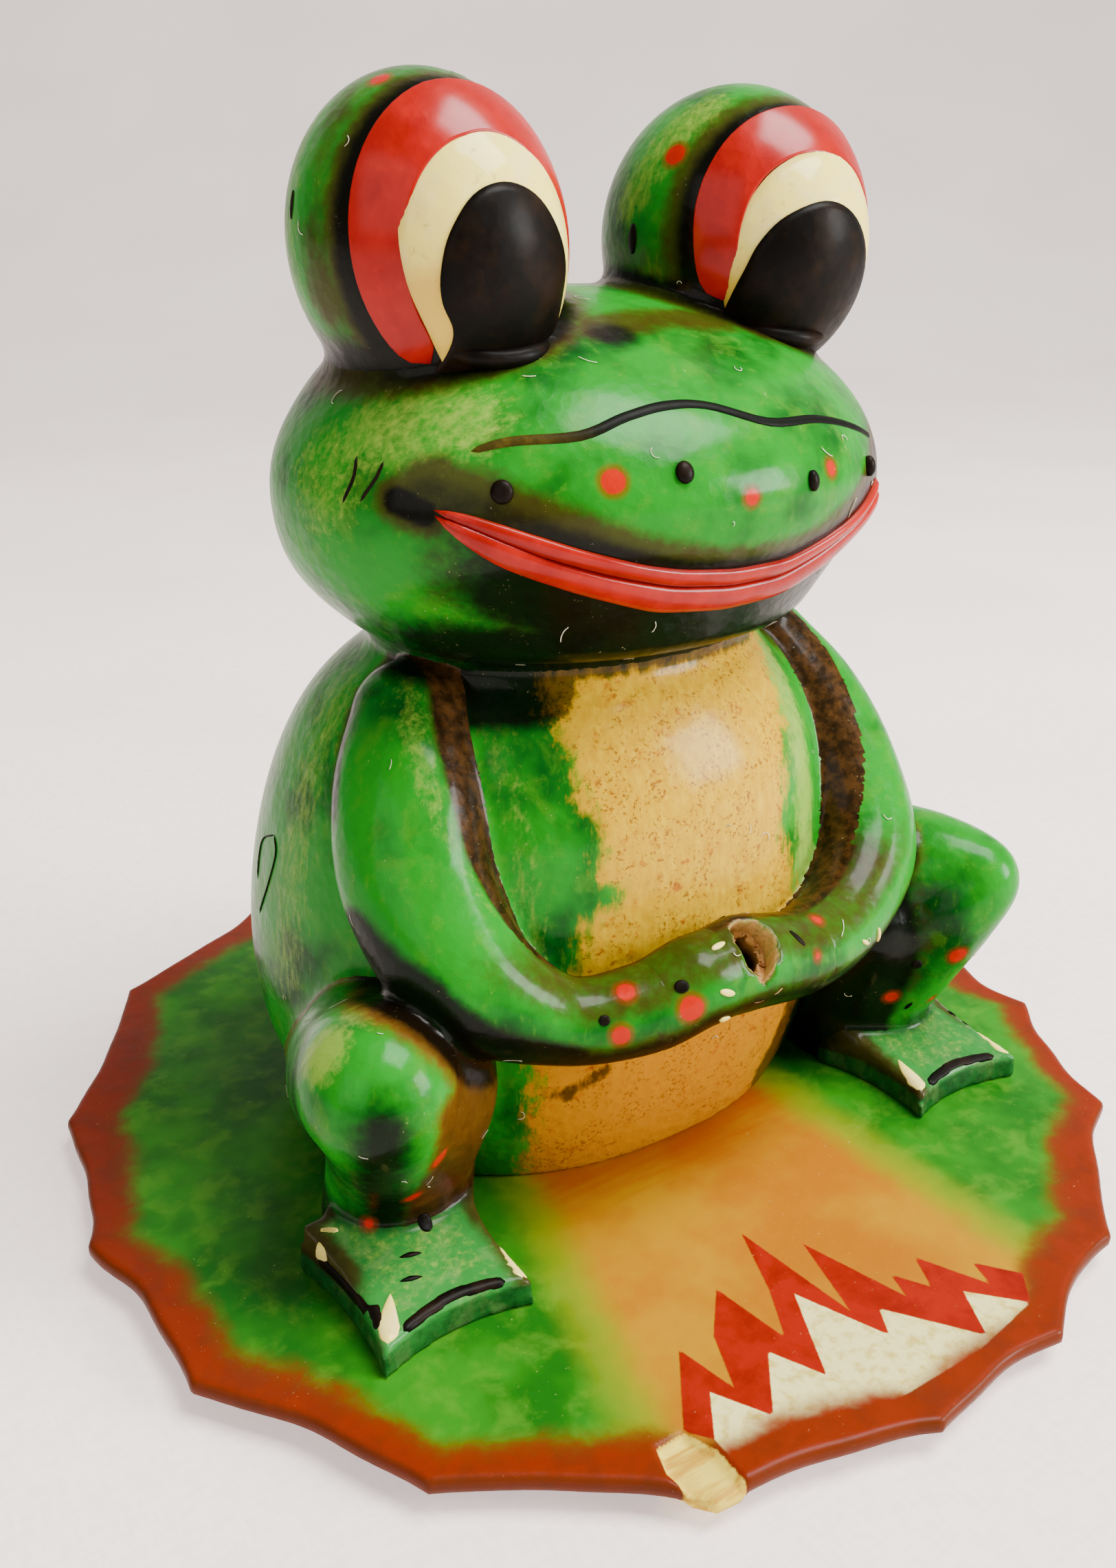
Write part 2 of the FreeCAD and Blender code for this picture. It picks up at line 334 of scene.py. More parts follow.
# How softly each form runs into what it is stuck to.
SINK = 0.05                      # how far a piece dives under its neighbour's skin at a seam
LAP = 0.8                        # and how far on it runs there
SOFT = {"head_shell": 5.0, "right_eye_mound": 3.2, "left_eye_mound": 3.2, "right_arm": 1.3,
        "left_arm": 1.3, "right_leg": 2.2, "left_leg": 2.2, "right_foot": 2.6, "left_foot": 2.6}
HANDS = 3.5                      # the hands are modelled as one lump
frog = parts["body_shell"]
for name, k in SOFT.items():
    if name == "right_arm":
        frog = smooth_min(frog, smooth_min(parts["right_arm"], parts["left_arm"], HANDS), k)
    elif name != "left_arm":
        frog = smooth_min(frog, parts[name], k)
floor_cut = window(LOW, (HIGH[0], HIGH[1], 12.0))
frog[floor_cut[0]] = np.maximum(frog[floor_cut[0]], PAD_TOP - 0.1 - floor_cut[3])
hole_cut = window(HOLE_AT - 9, HOLE_AT + 9)
frog[hole_cut[0]] = smooth_max(frog[hole_cut[0]], -hole_distance(*hole_cut[1:]), 0.35)
skin_points, skin_faces = skin_of(frog)
SKIN = BVHTree.FromPolygons([Vector(p) for p in skin_points], skin_faces)


# ---------------------------------------------------------------- paint, as distances on the skin
def fall(d, full, none):
    """1 up to the distance full, then softly down to 0 at none."""
    t = np.clip((none - d) / (none - full), 0, 1)
    return t * t * (3 - 2 * t)


def to_point(p, spot):
    return np.linalg.norm(p - np.array(spot), axis=1)


def to_line(p, line):
    """Distance from points to a line of (x, y, z) points."""
    rows = np.array(line, float)
    near = np.full(len(p), 99.0)
    for a, b in zip(rows[:-1], rows[1:]):
        d = b - a
        t = np.clip(((p - a) @ d) / max(d @ d, 1e-9), 0, 1)
        near = np.minimum(near, np.linalg.norm(p - a - t[:, None] * d, axis=1))
    return near


MOUTH_TOP = [(-31.5, 92.6), (-28, 91.7), (-25, 90.5), (-19, 88.3), (-12, 86.2), (-7.5, 85.2), (0, 84.3),
             (8, 84.3), (13, 85.6), (19.4, 87.5), (25.0, 89.7), (28.6, 91.6)]
MOUTH_LOW = [(-31.0, 91.4), (-28, 88.3), (-25, 86.3), (-18, 83.3), (-9, 80.2), (0, 79.3), (9, 79.6),
             (18, 82.2), (24.4, 86.0), (28.6, 90.0)]
LIP_SEAM = [(-31.2, 92.0), (-27, 89.9), (-22, 87.6), (-15, 85.2), (-8, 83.3), (0, 82.3), (8, 82.4),
            (15, 84.4), (22, 87.2), (26, 89.2), (28.6, 91.0)]


def onto_front(rows):
    """The skin points in front of (x, z) rows, seen from straight ahead."""
    out = []
    for x, z in rows:
        hit = SKIN.ray_cast(Vector((x, -80, z)), Vector((0, 1, 0)))[0]
        out.append(tuple(hit) if hit else (x, -10, z))
    return out


MOUTH_LINE = onto_front(LIP_SEAM)
FACE_SPOTS = [(-16, 95, 1.3), (-1, 92.5, 0.9), (12, 94, 0.9)]          # (x, z, half width)
ARM_SPOTS = [(-16.5, 39, 1.1), (-18.5, 35, 1.1), (-10.5, 37, 1.5), (12, 40, 0.7), (9, 37.5, 0.5)]
LEG_SPOTS = [(-39.5, 24.5, 1.2), (-40.5, 16.5, 1.0), (-44.5, 12, 0.6),
             (41.5, 25, 1.3), (35.5, 17.5, 1.0), (42, 16, 0.5)]
MOUND_SPOTS = [(10.5, 126, 1.3), (-27, 132, 1.0)]
SPOT_ROWS = FACE_SPOTS + ARM_SPOTS + LEG_SPOTS + MOUND_SPOTS
RED_SPOTS = [(onto_front([(x, z)])[0], half) for x, z, half in SPOT_ROWS]
PANEL = [(-15.5, 71), (-15, 58), (-13, 54.5), (-14.5, 49), (-11, 46.5), (-15.5, 43), (-17, 37), (-21.5, 31),
         (-21, 2), (21, 2), (21.5, 22), (16, 42), (13.5, 48), (15.5, 58), (20, 72)]


RING_POINTS = 49


def ring_line(side):
    """The line of an eyelid on its mound, from the outer tail over the top to the inner end."""
    centre, size, lean = MOUND[side]
    out = -1 if side == "right" else 1
    first, last = RING_SPAN[side]
    rows = []
    for i in range(RING_POINTS):
        a = math.radians(first + (last - first) * i / (RING_POINTS - 1))
        y = RING_Y[side] - RING_TIP[side] * max(math.sin(a), 0) ** 2
        k = math.sqrt(1 - ((y - centre[1]) / size[1]) ** 2)
        u, w = out * math.cos(a) * size[0] * k, math.sin(a) * size[2] * k
        c, s = math.cos(math.radians(lean)), math.sin(math.radians(lean))
        rows.append((centre[0] + u * c + w * s, y, centre[2] - u * s + w * c))
    return rows


RING_SPAN = {"right": (-50, 214), "left": (-46, 218)}
RING_Y = {"right": -10.6, "left": -10.3}
RING_TIP = {"right": 0.2, "left": 1.5}        # how far the top of the ring leans forward
RINGS = {side: ring_line(side) for side in SIDES}


class Shading:
    """The masks of one piece while they are laid on, and what they are worked out from."""

    def __init__(self, name, p, normal):
        self.p, self.normal = p, normal
        self.near = {key: sample(parts[key], p) for key in parts}
        self.side = "right" if name.startswith("right") else "left"
        self.front = fall(p[:, 1], -16, -2)
        self.arm = np.minimum(self.near["right_arm"], self.near["left_arm"])
        self.leg = np.minimum(self.near["right_leg"], self.near["left_leg"])
        self.dark, self.brown, self.pale = (np.zeros(len(p)) for _ in range(3))
        self.edge = np.full(len(p), NO_EDGE)

    def lay(self, mask, share):
        setattr(self, mask, np.maximum(getattr(self, mask), share))

    def streak(self, line, full, none):
        return fall(to_line(self.p, line), full, none)

    def patch(self, spot, full, none):
        return fall(to_point(self.p, spot), full, none)


NO_EDGE = 9.0                    # the distance kept where no painted edge is near


def shade_head(m):
    x, y, z = m.p.T
    mouth = to_line(m.p, MOUTH_LINE)
    over = z > np.interp(x, *zip(*LIP_SEAM))
    # Dark and brown round the mouth: black airbrush, with painted shade under the muzzle above the lips and
    # under the chin.
    chin = fall(mouth, 6.0, 17.0) * fall(-x, 22, 38)
    m.lay("dark", np.where(over, fall(mouth, 2.2, 5.6) * (0.55 + 0.4 * fall(-x, 16, 28)), chin))
    m.lay("brown", np.where(over, fall(mouth, 4.0, 8.0), fall(mouth, 9.0, 16.0) * fall(-x, 29, 38) * 0.5))
    corner = [(-33.6, -15.5, 92.9), (-31.5, -18, 91.8)]
    m.lay("dark", m.streak(corner, 0.6, 2.4))
    m.lay("brown", m.streak(corner, 1.4, 4.4) * 0.9)
    m.lay("brown", m.streak([(-27, -21, 94.5), (-18, -26, 91)], 1.0, 4.0) * 0.8)
    # Dark and brown round the foot of each eye mound: painted shade in the crease.
    mound = np.minimum(m.near["right_eye_mound"], m.near["left_eye_mound"])
    m.lay("dark", fall(mound, 1.0, 4.6) * (0.5 + 0.5 * m.front))
    m.lay("brown", fall(mound, 2.0, 7.0) * 0.9)
    m.lay("brown", m.streak([(-7.5, -14, 110.5), (1.5, -13, 111.5), (10, -13, 110.5)], 2.0, 6.0))
    m.lay("dark", m.patch((-6.5, -16, 110), 2.0, 6.0) * 0.9)
    # Dark low on the head: painted shadow under the jaw.
    m.lay("dark", fall(z, 75.5, 84.0) * (0.55 + 0.45 * m.front))
    # Pale yellow-green on the cheeks: painted highlights.
    m.lay("pale", 0.65 * m.streak([(-34, -11, 100), (-27, -18, 101)], 2.0, 9.0))
    m.lay("pale", 0.5 * m.patch((-37, -6, 94), 3.0, 11.0))
    m.lay("pale", 0.5 * m.patch((30, -18, 100), 1.0, 7.0))


def shade_body(m):
    x, y, z = m.p.T
    # Dark under the head and along the neck at the front: painted shadow under the jaw.
    m.lay("dark", fall(m.near["head_shell"], 0.8, 4.5) * (0.5 + 0.5 * m.front))
    m.lay("dark", m.streak([(-27, -8, 70), (-17, -15, 70.5)], 3.0, 8.0))
    # Dark and brown next to the legs and arms, and down the side by the left leg: painted shade in the
    # creases between the parts.
    m.lay("dark", np.where(x > 0, fall(m.leg, 0.8, 7.0), fall(m.leg, 0.3, 3.0) * fall(m.arm, 1, 7)))
    m.lay("dark", m.streak([(27, -22, 24), (21, -18, 9)], 4.0, 9.0))
    m.lay("dark", fall(m.arm, 0.3, 3.2) * fall(-y, 2, 12) * 0.9)
    m.lay("brown", fall(m.arm, 0.8, 4.5) * fall(-y, 6, 16))
    m.lay("brown", np.where(x > 0, fall(m.leg, 2, 10) * 0.8, 0))
    m.lay("brown", 0.4 * fall(m.leg, 0.6, 3.0))
    m.lay("brown", fall(m.arm, 0.3, 3.0) * (z < 36) * (np.abs(x) < 26))
    m.lay("dark", m.streak([(-22.5, -19, 21.5), (-17.5, -22.5, 20.0), (-13.0, -24, 22.5)], 0.4, 2.6) * 0.72)
    m.edge = np.where(y < 0, to_outline(x, z, PANEL), NO_EDGE)
    m.lay("pale", 0.5 * m.streak([(-30, 8, 64), (-38, 6, 50), (-41, 6, 32)], 1.0, 9.0))
    m.lay("pale", 0.9 * fall(np.abs(x - 19.5), 0.5, 5.0) * fall(y, -8, -3) * (z > 30))
    m.lay("pale", 0.35 * fall(np.abs(x + 22), 0.5, 3.5) * fall(y, -8, -3) * (z > 30))


def shade_mound(m):
    y, head = m.p[:, 1], m.near["head_shell"]
    ring = to_line(m.p, RINGS[m.side]) - 2.6
    m.lay("dark", fall(ring, 0.8, 5.0) * (0.75 + 0.25 * fall(y, -6, 8)))
    # Dark and brown where the mound meets the head: painted shade in the crease.
    m.lay("dark", fall(head, 1.2, 6.0) * np.where(y < 4, 1.0, 0.7))
    m.lay("brown", fall(ring, 2.0, 7.5))
    m.lay("brown", fall(head, 3, 10) * 0.6)
    if m.side == "right":
        m.lay("brown", m.streak([(-33, -3, 112), (-29, -2, 127), (-20, 3, 133)], 1, 7))
        m.lay("pale", m.streak([(-35, 5, 112), (-31, 4, 127)], 1, 7) * 0.5)
    else:
        m.dark = np.minimum(m.dark, np.maximum(fall(ring, 0.5, 4.2), fall(head, 0.5, 3.5)))
        m.lay("pale", m.streak([(9, 2, 121), (15, -3, 130)], 1, 6) * 0.7)
        m.lay("pale", 0.6 * m.patch((9, -2, 112), 1, 6))


def shade_arm(m):
    """An arm or hand: a dark-edged band on the side that faces the body, painted shade below, in the creases
    and along the edge turned away, and a pale painted highlight.
    """
    x, y, z = m.p.T
    k, up, body = SIDES[m.side], m.normal[:, 2], m.near["body_shell"]
    axis = limbs[m.side + "_arm"]
    outward = (x - np.interp(y, axis[::-1, 1], axis[::-1, 0])) * k
    upper = (z > 41) & (y > -27)
    inner = np.where(upper, outward < 0, up >= 0)
    width = np.where(upper, 4.4 + 0.07 * (65 - z), 4.2) if m.side == "right" else np.where(upper, 7.2, 6.0)
    m.edge = np.where(inner, body - width, NO_EDGE)
    # Off the band, darker and browner near the body: painted shade in the crease.
    m.lay("brown", np.where(inner, 0.0, fall(body, 1.5, 7.0)))
    m.lay("dark", np.where(inner, 0.0, fall(body, 0.5, 5.0)))
    # Faces turned down are darker and browner: painted shade under the forearms.
    m.lay("dark", fall(up, -0.55, 0.15) * fall(z, 36, 46) * 0.9)
    m.lay("brown", fall(up, -0.3, 0.35) * fall(z, 38, 48) * 0.8)
    # Dark near the head and the leg: painted shade in the creases.
    m.lay("dark", fall(m.near["head_shell"], 1.0, 7.0))
    m.lay("dark", fall(m.leg, 0.5, 5.0) * 0.9)
    # Dark where the arm turns away from the camera: painted shade along its outer edge.
    brim = m.normal @ np.array([0.83 * k, 0.55, 0])
    m.lay("dark", fall(-brim, -0.93, -0.74) * fall(-z, -60, -52))
    m.lay("brown", 0.8 * (fall(-up, -0.7, -0.05) * fall(z, 42, 50) * fall(y, -24, -17)))
    # A pale band beside the brown one on the upper arm: a painted highlight.
    pale = 0.8 * fall(np.abs(body - width - 3.4), 1.0, 4.6) * fall(outward, -1.5, 3.0) * upper
    if m.side == "left":
        m.lay("dark", 0.5 * m.streak([(24, -16, 62), (27, -24, 50), (22, -31, 42)], 0, 3))
        pale = pale * 0.5
    else:
        m.lay("dark", m.streak([(-39, -16, 46), (-37, -24, 41), (-32, -29, 34.5), (-24, -32, 31)], 2.2, 5.4))
    m.lay("pale", pale)


def shade_right_leg(m):
    x, y, z = m.p.T
    arm, body = m.near["right_arm"], m.near["body_shell"]
    # Dark and brown next to the arm and the body: painted shade in the creases.
    m.lay("dark", fall(arm, 1.4, 6.0))
    m.lay("dark", fall(body, 1.0, 7.0) * fall(arm, 3.0, 11.0))
    m.lay("brown", fall(arm, 2.5, 9.0))
    m.lay("brown", 0.7 * fall(body, 0.5, 4.0))
    shin = onto_front([(-47, 32), (-47, 28), (-45.5, 21), (-42.5, 13)])
    m.lay("dark", 0.95 * m.streak(shin, -1.0, 8.5))
    inside = fall(-x, 39, 43.5) * fall(z, 31, 35)
    m.lay("brown", inside)
    m.lay("dark", 0.42 * inside)
    m.lay("dark", 0.5 * fall(z, 20, 36) * fall(y, -22, -12))
    m.lay("dark", 0.8 * m.streak([(-53, -20, 28), (-51, -30, 18)], 1, 5))
    m.lay("dark", 0.7 * fall(z, 12, 17))
    m.lay("pale", m.patch((-49.5, -23.5, 38), 1.5, 6.0))
    m.lay("pale", 0.7 * m.patch((-43, -22, 40.5), 1.5, 6.0))


def shade_left_leg(m):
    x, y, z = m.p.T
    arm = m.near["left_arm"]
    # Dark and brown on the inner side, which faces the belly, and next to the arm: painted shade between leg
    # and body; darker towards the foot as well.
    m.lay("dark", fall(x, 35.0, 39.5))
    m.lay("dark", 0.9 * fall(arm, 0.5, 3.0))
    m.lay("dark", 0.6 * fall(z, 11, 16))
    m.lay("brown", 0.4 * fall(x, 37.5, 40.5))
    m.lay("brown", 0.6 * fall(arm, 1.5, 4.0))
    # A pale streak along the knee's ridge: a painted highlight.
    m.lay("pale", 0.5 * m.streak([(42, -14, 37), (47, -22, 39)], 1, 4))
    m.lay("pale", 0.45 * m.streak([(50, -30, 29), (46, -29, 20)], 1, 5))


def shade_leg(m):
    (shade_right_leg if m.side == "right" else shade_left_leg)(m)


def shade_foot(m):
    x, y, z = m.p.T
    k, up = SIDES[m.side], m.normal[:, 2]
    # Dark next to the leg, low on the sides and along the inner edge by the body: painted shade.
    m.lay("dark", fall(m.near[m.side + "_leg"], 0.2, 3.4) * 0.6)
    m.lay("dark", fall(up, 0.25, 0.6) * fall(z, 7.5, 10) * 0.55)
    m.lay("dark", fall(x * k, 29, 32) * 0.7)
    rim = -to_outline(x, y, foot_outline(k))
    # Paler in the middle of the top face: painted light on the upward face.
    m.lay("pale", 0.4 * fall(-rim, -4, -1) * fall(-up, -0.8, -0.4))
    # Brown along the back edge and on the inner side: brown paint and painted shade.
    brown_paint_and_shade = np.maximum(fall(rim, 0.8, 4.0) * fall(-y, 25, 34), fall(x * k, 31.5, 36))
    m.lay("brown", brown_paint_and_shade * fall(-z, -8.2, -7.0))


SHADES = {"head_shell": shade_head, "body_shell": shade_body, "eye_mound": shade_mound,
          "arm": shade_arm, "hand": shade_arm, "leg": shade_leg, "foot": shade_foot}


def skin_masks(name, p, normal):
    """The paint masks of one piece: how dark, brown or pale, partly painted shade and highlight, and
    distances to painted edges.
    """
    m = Shading(name, p, normal)
    SHADES[name.removeprefix(m.side + "_")](m)
    spots = np.full(len(p), NO_EDGE)
    for spot, radius in RED_SPOTS:
        spots = np.minimum(spots, to_point(p, spot) - radius)
    raw = np.clip(hole_distance(*p.T), -NO_EDGE, NO_EDGE)
    # Deeper inside the hole the raw mask drops further, which the paint turns dark: painted shade in the
    # hole.
    depth = (HOLE_AT - p) @ HOLE_OUT
    raw = np.where(raw < 0.6, raw - 0.5 * np.clip(depth - 0.6, 0, 6), raw)
    return {"dark": m.dark, "brown": m.brown, "pale": m.pale, "edge": m.edge, "spots": spots, "raw": raw}


def normals_of(points, faces):
    mesh = bpy.data.meshes.new("scratch")
    mesh.from_pydata(points.tolist(), [], faces)
    out = np.zeros(len(points) * 3, np.float32)
    mesh.vertices.foreach_get("normal", out)
    bpy.data.meshes.remove(mesh)
    return out.reshape(-1, 3)


SLOTS = {row["node"]: row["material_slot"] for row in frame["record"]["subparts"]}


def lapped(field, over):
    """field cut off where over is more than nothing, but for a strip that dives under the neighbour."""
    return smooth_max(field + SINK * np.clip(0.5 + over, 0, 1), over - LAP, 0.2)


def split_skin():
    """Cuts the blended skin into one closed piece per CAD node, and keeps its paint masks."""
    names = list(parts)
    first = np.full(SHAPE, 99.0, np.float32)
    second = np.full(SHAPE, 99.0, np.float32)
    owner = np.zeros(SHAPE, np.int8)
    for i, name in enumerate(names):
        d = parts[name]
        closer = d < first
        second = np.where(closer, first, np.minimum(second, d))
        owner[closer] = i
        first = np.minimum(first, d)
    for i, name in enumerate(names):
        rival = np.where(owner == i, second, first)
        mine = lapped(frog, 0.5 * (parts[name] - rival))
        cuts = [(name, mine)]
        if name.endswith("_arm"):
            side = name.split("_")[0]
            across = (AXES[0] * SIDES[side] - WRIST_X)[:, None, None]
            cuts = [(name, lapped(mine, -across)), (side + "_hand", lapped(mine, across))]
        for label, field in cuts:
            points, faces = skin_of(field)
            masks = skin_masks(label, points, normals_of(points, faces))
            make_piece(label, points, faces, node=label, slot=SLOTS[label], masks=masks)


split_skin()


# ---------------------------------------------------------------- strokes, dabs and rolls
def on_skin(point, tree=SKIN):
    found = tree.find_nearest(Vector(point))
    return np.array(found[0]), np.array(found[1])


class Build:
    """Collects points and faces for one piece."""

    def __init__(self):
        self.points = []
        self.faces = []

    def grid(self, rows):
        """Joins equal rings of points into a tube, and caps its ends."""
        start = len(self.points)
        n = len(rows[0])
        for row in rows:
            self.points += [tuple(p) for p in row]
        for i in range(len(rows) - 1):
            for j in range(n):
                a, b = start + i * n + j, start + i * n + (j + 1) % n
                self.faces.append((a, b, b + n, a + n))
        self.faces.append(tuple(start + j for j in range(n))[::-1])
        end = start + (len(rows) - 1) * n
        self.faces.append(tuple(end + j for j in range(n)))

    def make(self, name, **how):
        mesh = make_piece(name, self.points, self.faces, **how)
        tidy = bmesh.new()
        tidy.from_mesh(mesh.data)
        bmesh.ops.recalc_face_normals(tidy, faces=tidy.faces)
        tidy.to_mesh(mesh.data)
        tidy.free()
        return mesh


def smooth_line(rows, steps):
    return spline([tuple(r) for r in rows], steps)


def sweep(build, line, half, profile, taper, tree=SKIN, sink=0.7):
    """A raised band along a line on the skin.  profile is (across from -1 to 1, height) points;
    half is the half width, a number or one per point; the ends round off over taper millimetres."""
    line = np.array(line, float)
    run = np.concatenate([[0], np.cumsum(np.linalg.norm(np.diff(line, axis=0), axis=1))])
    half = np.broadcast_to(np.asarray(half, float), (len(line),))
    rows = []
    for i, p in enumerate(line):
        ahead = line[min(i + 1, len(line) - 1)] - line[max(i - 1, 0)]
        ahead /= max(np.linalg.norm(ahead), 1e-9)
        spot, up = on_skin(p, tree)
        side = np.cross(up, ahead)
        side /= max(np.linalg.norm(side), 1e-9)
        rounding = 1.0
        for gap in (run[i], run[-1] - run[i]):
            if gap < taper:
                rounding = min(rounding, math.sqrt(max(1 - (1 - gap / taper) ** 2, 0.004)))
        top, low = [], []
        for across, height in profile:
            at, n = on_skin(spot + side * across * half[i] * rounding, tree)
            top.append(at + n * height * rounding)
            low.append(at - n * sink)
        rows.append(top + low[::-1])
    build.grid(rows)


DAB_RINGS = 4
DAB_DOME = 0.5                   # how much lower a dab's edge is than its middle


def dab(build, at, outline, height, turn):
    """A thick dab of paint: a closed outline in millimetres laid on the skin round a point."""
    spot, up = on_skin(at)
    along = np.cross(up, (0, 0, 1) if abs(up[2]) < 0.9 else (0, 1, 0))
    along /= np.linalg.norm(along)
    high = np.cross(up, along) * -1
    high = high if high @ np.array((0, 0.3, 1)) > 0 else -high
    c, s = math.cos(math.radians(turn)), math.sin(math.radians(turn))
    along, high = along * c + high * s, high * c - along * s
    rows = []
    for i in range(DAB_RINGS + 1):
        r = max(i / DAB_RINGS, 0.04)
        row = []
        for u, v in outline:
            p, n = on_skin(spot + along * (u * r) + high * (v * r))
            row.append(p + n * (height * (1 - DAB_DOME * r ** 3) + 0.02))
        rows.append(row)
    rows.append([on_skin(spot + along * u + high * v)[0] - up * 0.35 for u, v in outline])
    build.grid(rows)


OVAL_POINTS = 18


def oval(half, high):
    out = []
    for i in range(OVAL_POINTS):
        a = 2 * math.pi * i / OVAL_POINTS
        out.append((half * math.cos(a), high * math.sin(a)))
    return out



THIN = [(-1, 0.02), (-0.7, 0.14), (0, 0.2), (0.7, 0.14), (1, 0.02)]


# ---------------------------------------------------------------- eyes
def mound_surface(side, x, z, out):
    """The point of a mound's front at (x, z), raised by out."""
    centre, size, lean = MOUND[side]
    c, s = math.cos(math.radians(lean)), math.sin(math.radians(lean))
    dx, dz = x - centre[0], z - centre[2]
    u, w = dx * c - dz * s, dx * s + dz * c
    depth = 1 - (u / size[0]) ** 2 - (w / size[2]) ** 2
    v = -size[1] * math.sqrt(max(depth, 0.01))
    n = np.array([u / size[0] ** 2, v / size[1] ** 2, w / size[2] ** 2])
    n /= np.linalg.norm(n)
    n = np.array([n[0] * c + n[2] * s, n[1], -n[0] * s + n[2] * c])
    return np.array([x, centre[1] + v, z]) + n * out


LID_PROFILE = [(-1, 0.0), (-0.97, 0.8), (-0.86, 1.6), (-0.66, 2.15), (-0.42, 2.3), (-0.2, 2.1), (0.0, 1.6),
               (0.2, 1.15), (0.42, 0.95), (0.68, 0.95), (0.9, 0.8), (1.0, 0.1)]
LID_HALF = {"right": [1.9, 2.7, 3.2, 3.6, 3.2, 2.6, 1.9], "left": [1.6, 2.2, 2.8, 3.3, 3.2, 2.8, 2.0]}
CREAM = {"right": [(-24.6, 105.2), (-26.9, 108.6), (-29.4, 113.6), (-30.0, 119.0), (-28.0, 123.6),
                   (-23.9, 126.9), (-18.5, 127.5), (-13.2, 125.2), (-10.6, 121.0), (-10.2, 115.0),
                   (-11.5, 108.5), (-14, 104.5), (-20, 103.5)],
         "left": [(14.2, 107.6), (12.7, 111.0), (12.0, 114.5), (12.6, 118.0), (14.3, 121.4), (17.6, 124.5),
                  (23.4, 126.3), (29.4, 124.8), (33.2, 118.5), (33.2, 111.8), (31.0, 106.6), (27, 103.2),
                  (20, 103.4)]}
PUPIL = {"right": [(-25.9, 104.8), (-25.3, 107.6), (-25.4, 109.6), (-26.6, 112.0), (-26.9, 114.6),
                   (-26.2, 117.8), (-24.0, 120.9), (-20.9, 122.0), (-17.6, 121.0), (-15.0, 118.3),
                   (-13.3, 115.0), (-13.3, 111.5), (-12.6, 107.8), (-12.2, 104.6), (-19.5, 103.4)],
         "left": [(13.8, 105.6), (13.2, 108.2), (13.2, 111.0), (13.7, 113.7), (14.8, 116.8), (17.2, 119.3),
                  (21.4, 120.7), (25.2, 119.5), (28.3, 116.0), (30.2, 111.0), (29.6, 106.6), (26.0, 103.6),
                  (20.5, 103.4)]}
EYE_MIDDLE = {"right": (-20.6, 113.5), "left": (22.9, 113.0)}
SHELF = {"right": [(-26.2, -12.2, 107.0), (-23.4, -14.2, 106.2), (-20.0, -15.0, 105.9),
                   (-16.6, -14.8, 106.2),
                   (-13.6, -13.4, 107.0)],
         "left": [(14.6, -12.0, 107.4), (17.8, -13.8, 106.6), (21.4, -14.7, 106.1), (25.2, -14.2, 106.0)]}


BALL_HALF = (10.6, 13.5)         # half width and half height of the eyeball's dome
BALL_EDGE = 0.5                  # how far its edge stands off
BALL_RISE = 1.5                  # and how much further its middle does
SHELF_ROUND = 1.35               # radius of the black roll under a pupil
SHELF_FLAT = 0.85                # its height as a share of its depth
SHELF_SIDES = 12


def ball_height(side, x, z):
    """How far the eyeball stands off its mound."""
    cx, cz = EYE_MIDDLE[side]
    r2 = ((x - cx) / BALL_HALF[0]) ** 2 + ((z - cz) / BALL_HALF[1]) ** 2
    return BALL_EDGE + BALL_RISE * max(1 - r2, 0) ** 0.8


def eye_patch(build, side, outline, lift, rings, rim_drop):
    rows = []
    middle = EYE_MIDDLE[side]
    outline = smooth_line([tuple(p) + (0,) for p in outline + outline[:1]], 5)[:-1]
    for i in range(rings + 1):
        r = max(i / rings, 0.02)
        row = []
        for u, v, _ in outline:
            x, z = middle[0] + (u - middle[0]) * r, middle[1] + (v - middle[1]) * r
            row.append(mound_surface(side, x, z, ball_height(side, x, z) + lift * (1 - 0.5 * r ** 6)))
        rows.append(row)
    rows.append([mound_surface(side, u, v, -rim_drop) for u, v, _ in outline])
    build.grid(rows)


def eyes():
    for side in SIDES:
        mound_tree = BVHTree.FromPolygons(*ellipsoid_mesh(*MOUND[side]))
        lid = Build()
        line = RINGS[side]
        halves = np.interp(np.linspace(0, 6, len(line)), range(7), LID_HALF[side])
        profile = LID_PROFILE if side == "right" else [(-u, h) for u, h in LID_PROFILE][::-1]
        sweep(lid, line, halves, profile, 3.2, mound_tree)
        mesh = lid.make(side + "_eyelid", node=side + "_eyelid", slot=SLOTS[side + "_eyelid"])
        add_edge_mask(mesh, side)
        ball = Build()
        eye_patch(ball, side, CREAM[side], 0.0, 14, 0.8)
        piece = ball.make(side + "_eyeball", node=side + "_eyeball", slot=SLOTS[side + "_eyeball"])
        add_eye_mask(piece, side)
        pupil = Build()
        eye_patch(pupil, side, PUPIL[side], 0.3, 10, 0.2)
        rows = []
        shelf = smooth_line(SHELF[side], 6)
        for i, p in enumerate(shelf):
            ahead = shelf[min(i + 1, len(shelf) - 1)] - shelf[max(i - 1, 0)]
            ahead /= np.linalg.norm(ahead)
            up = np.cross(ahead, (0, 1, 0))
            up /= np.linalg.norm(up)
            out = np.cross(ahead, up)
            end = min(i, len(shelf) - 1 - i)
            r = SHELF_ROUND * min(1.0, math.sqrt(1 - (1 - min(end / 12, 1)) ** 2) + 0.05)
            ring = [2 * math.pi * j / SHELF_SIDES for j in range(SHELF_SIDES)]
            rows.append([p + (up * math.cos(a) * SHELF_FLAT + out * math.sin(a)) * r for a in ring])
        pupil.grid(rows)
        pupil.make(side + "_pupil", node=side + "_pupil", slot=SLOTS[side + "_pupil"])


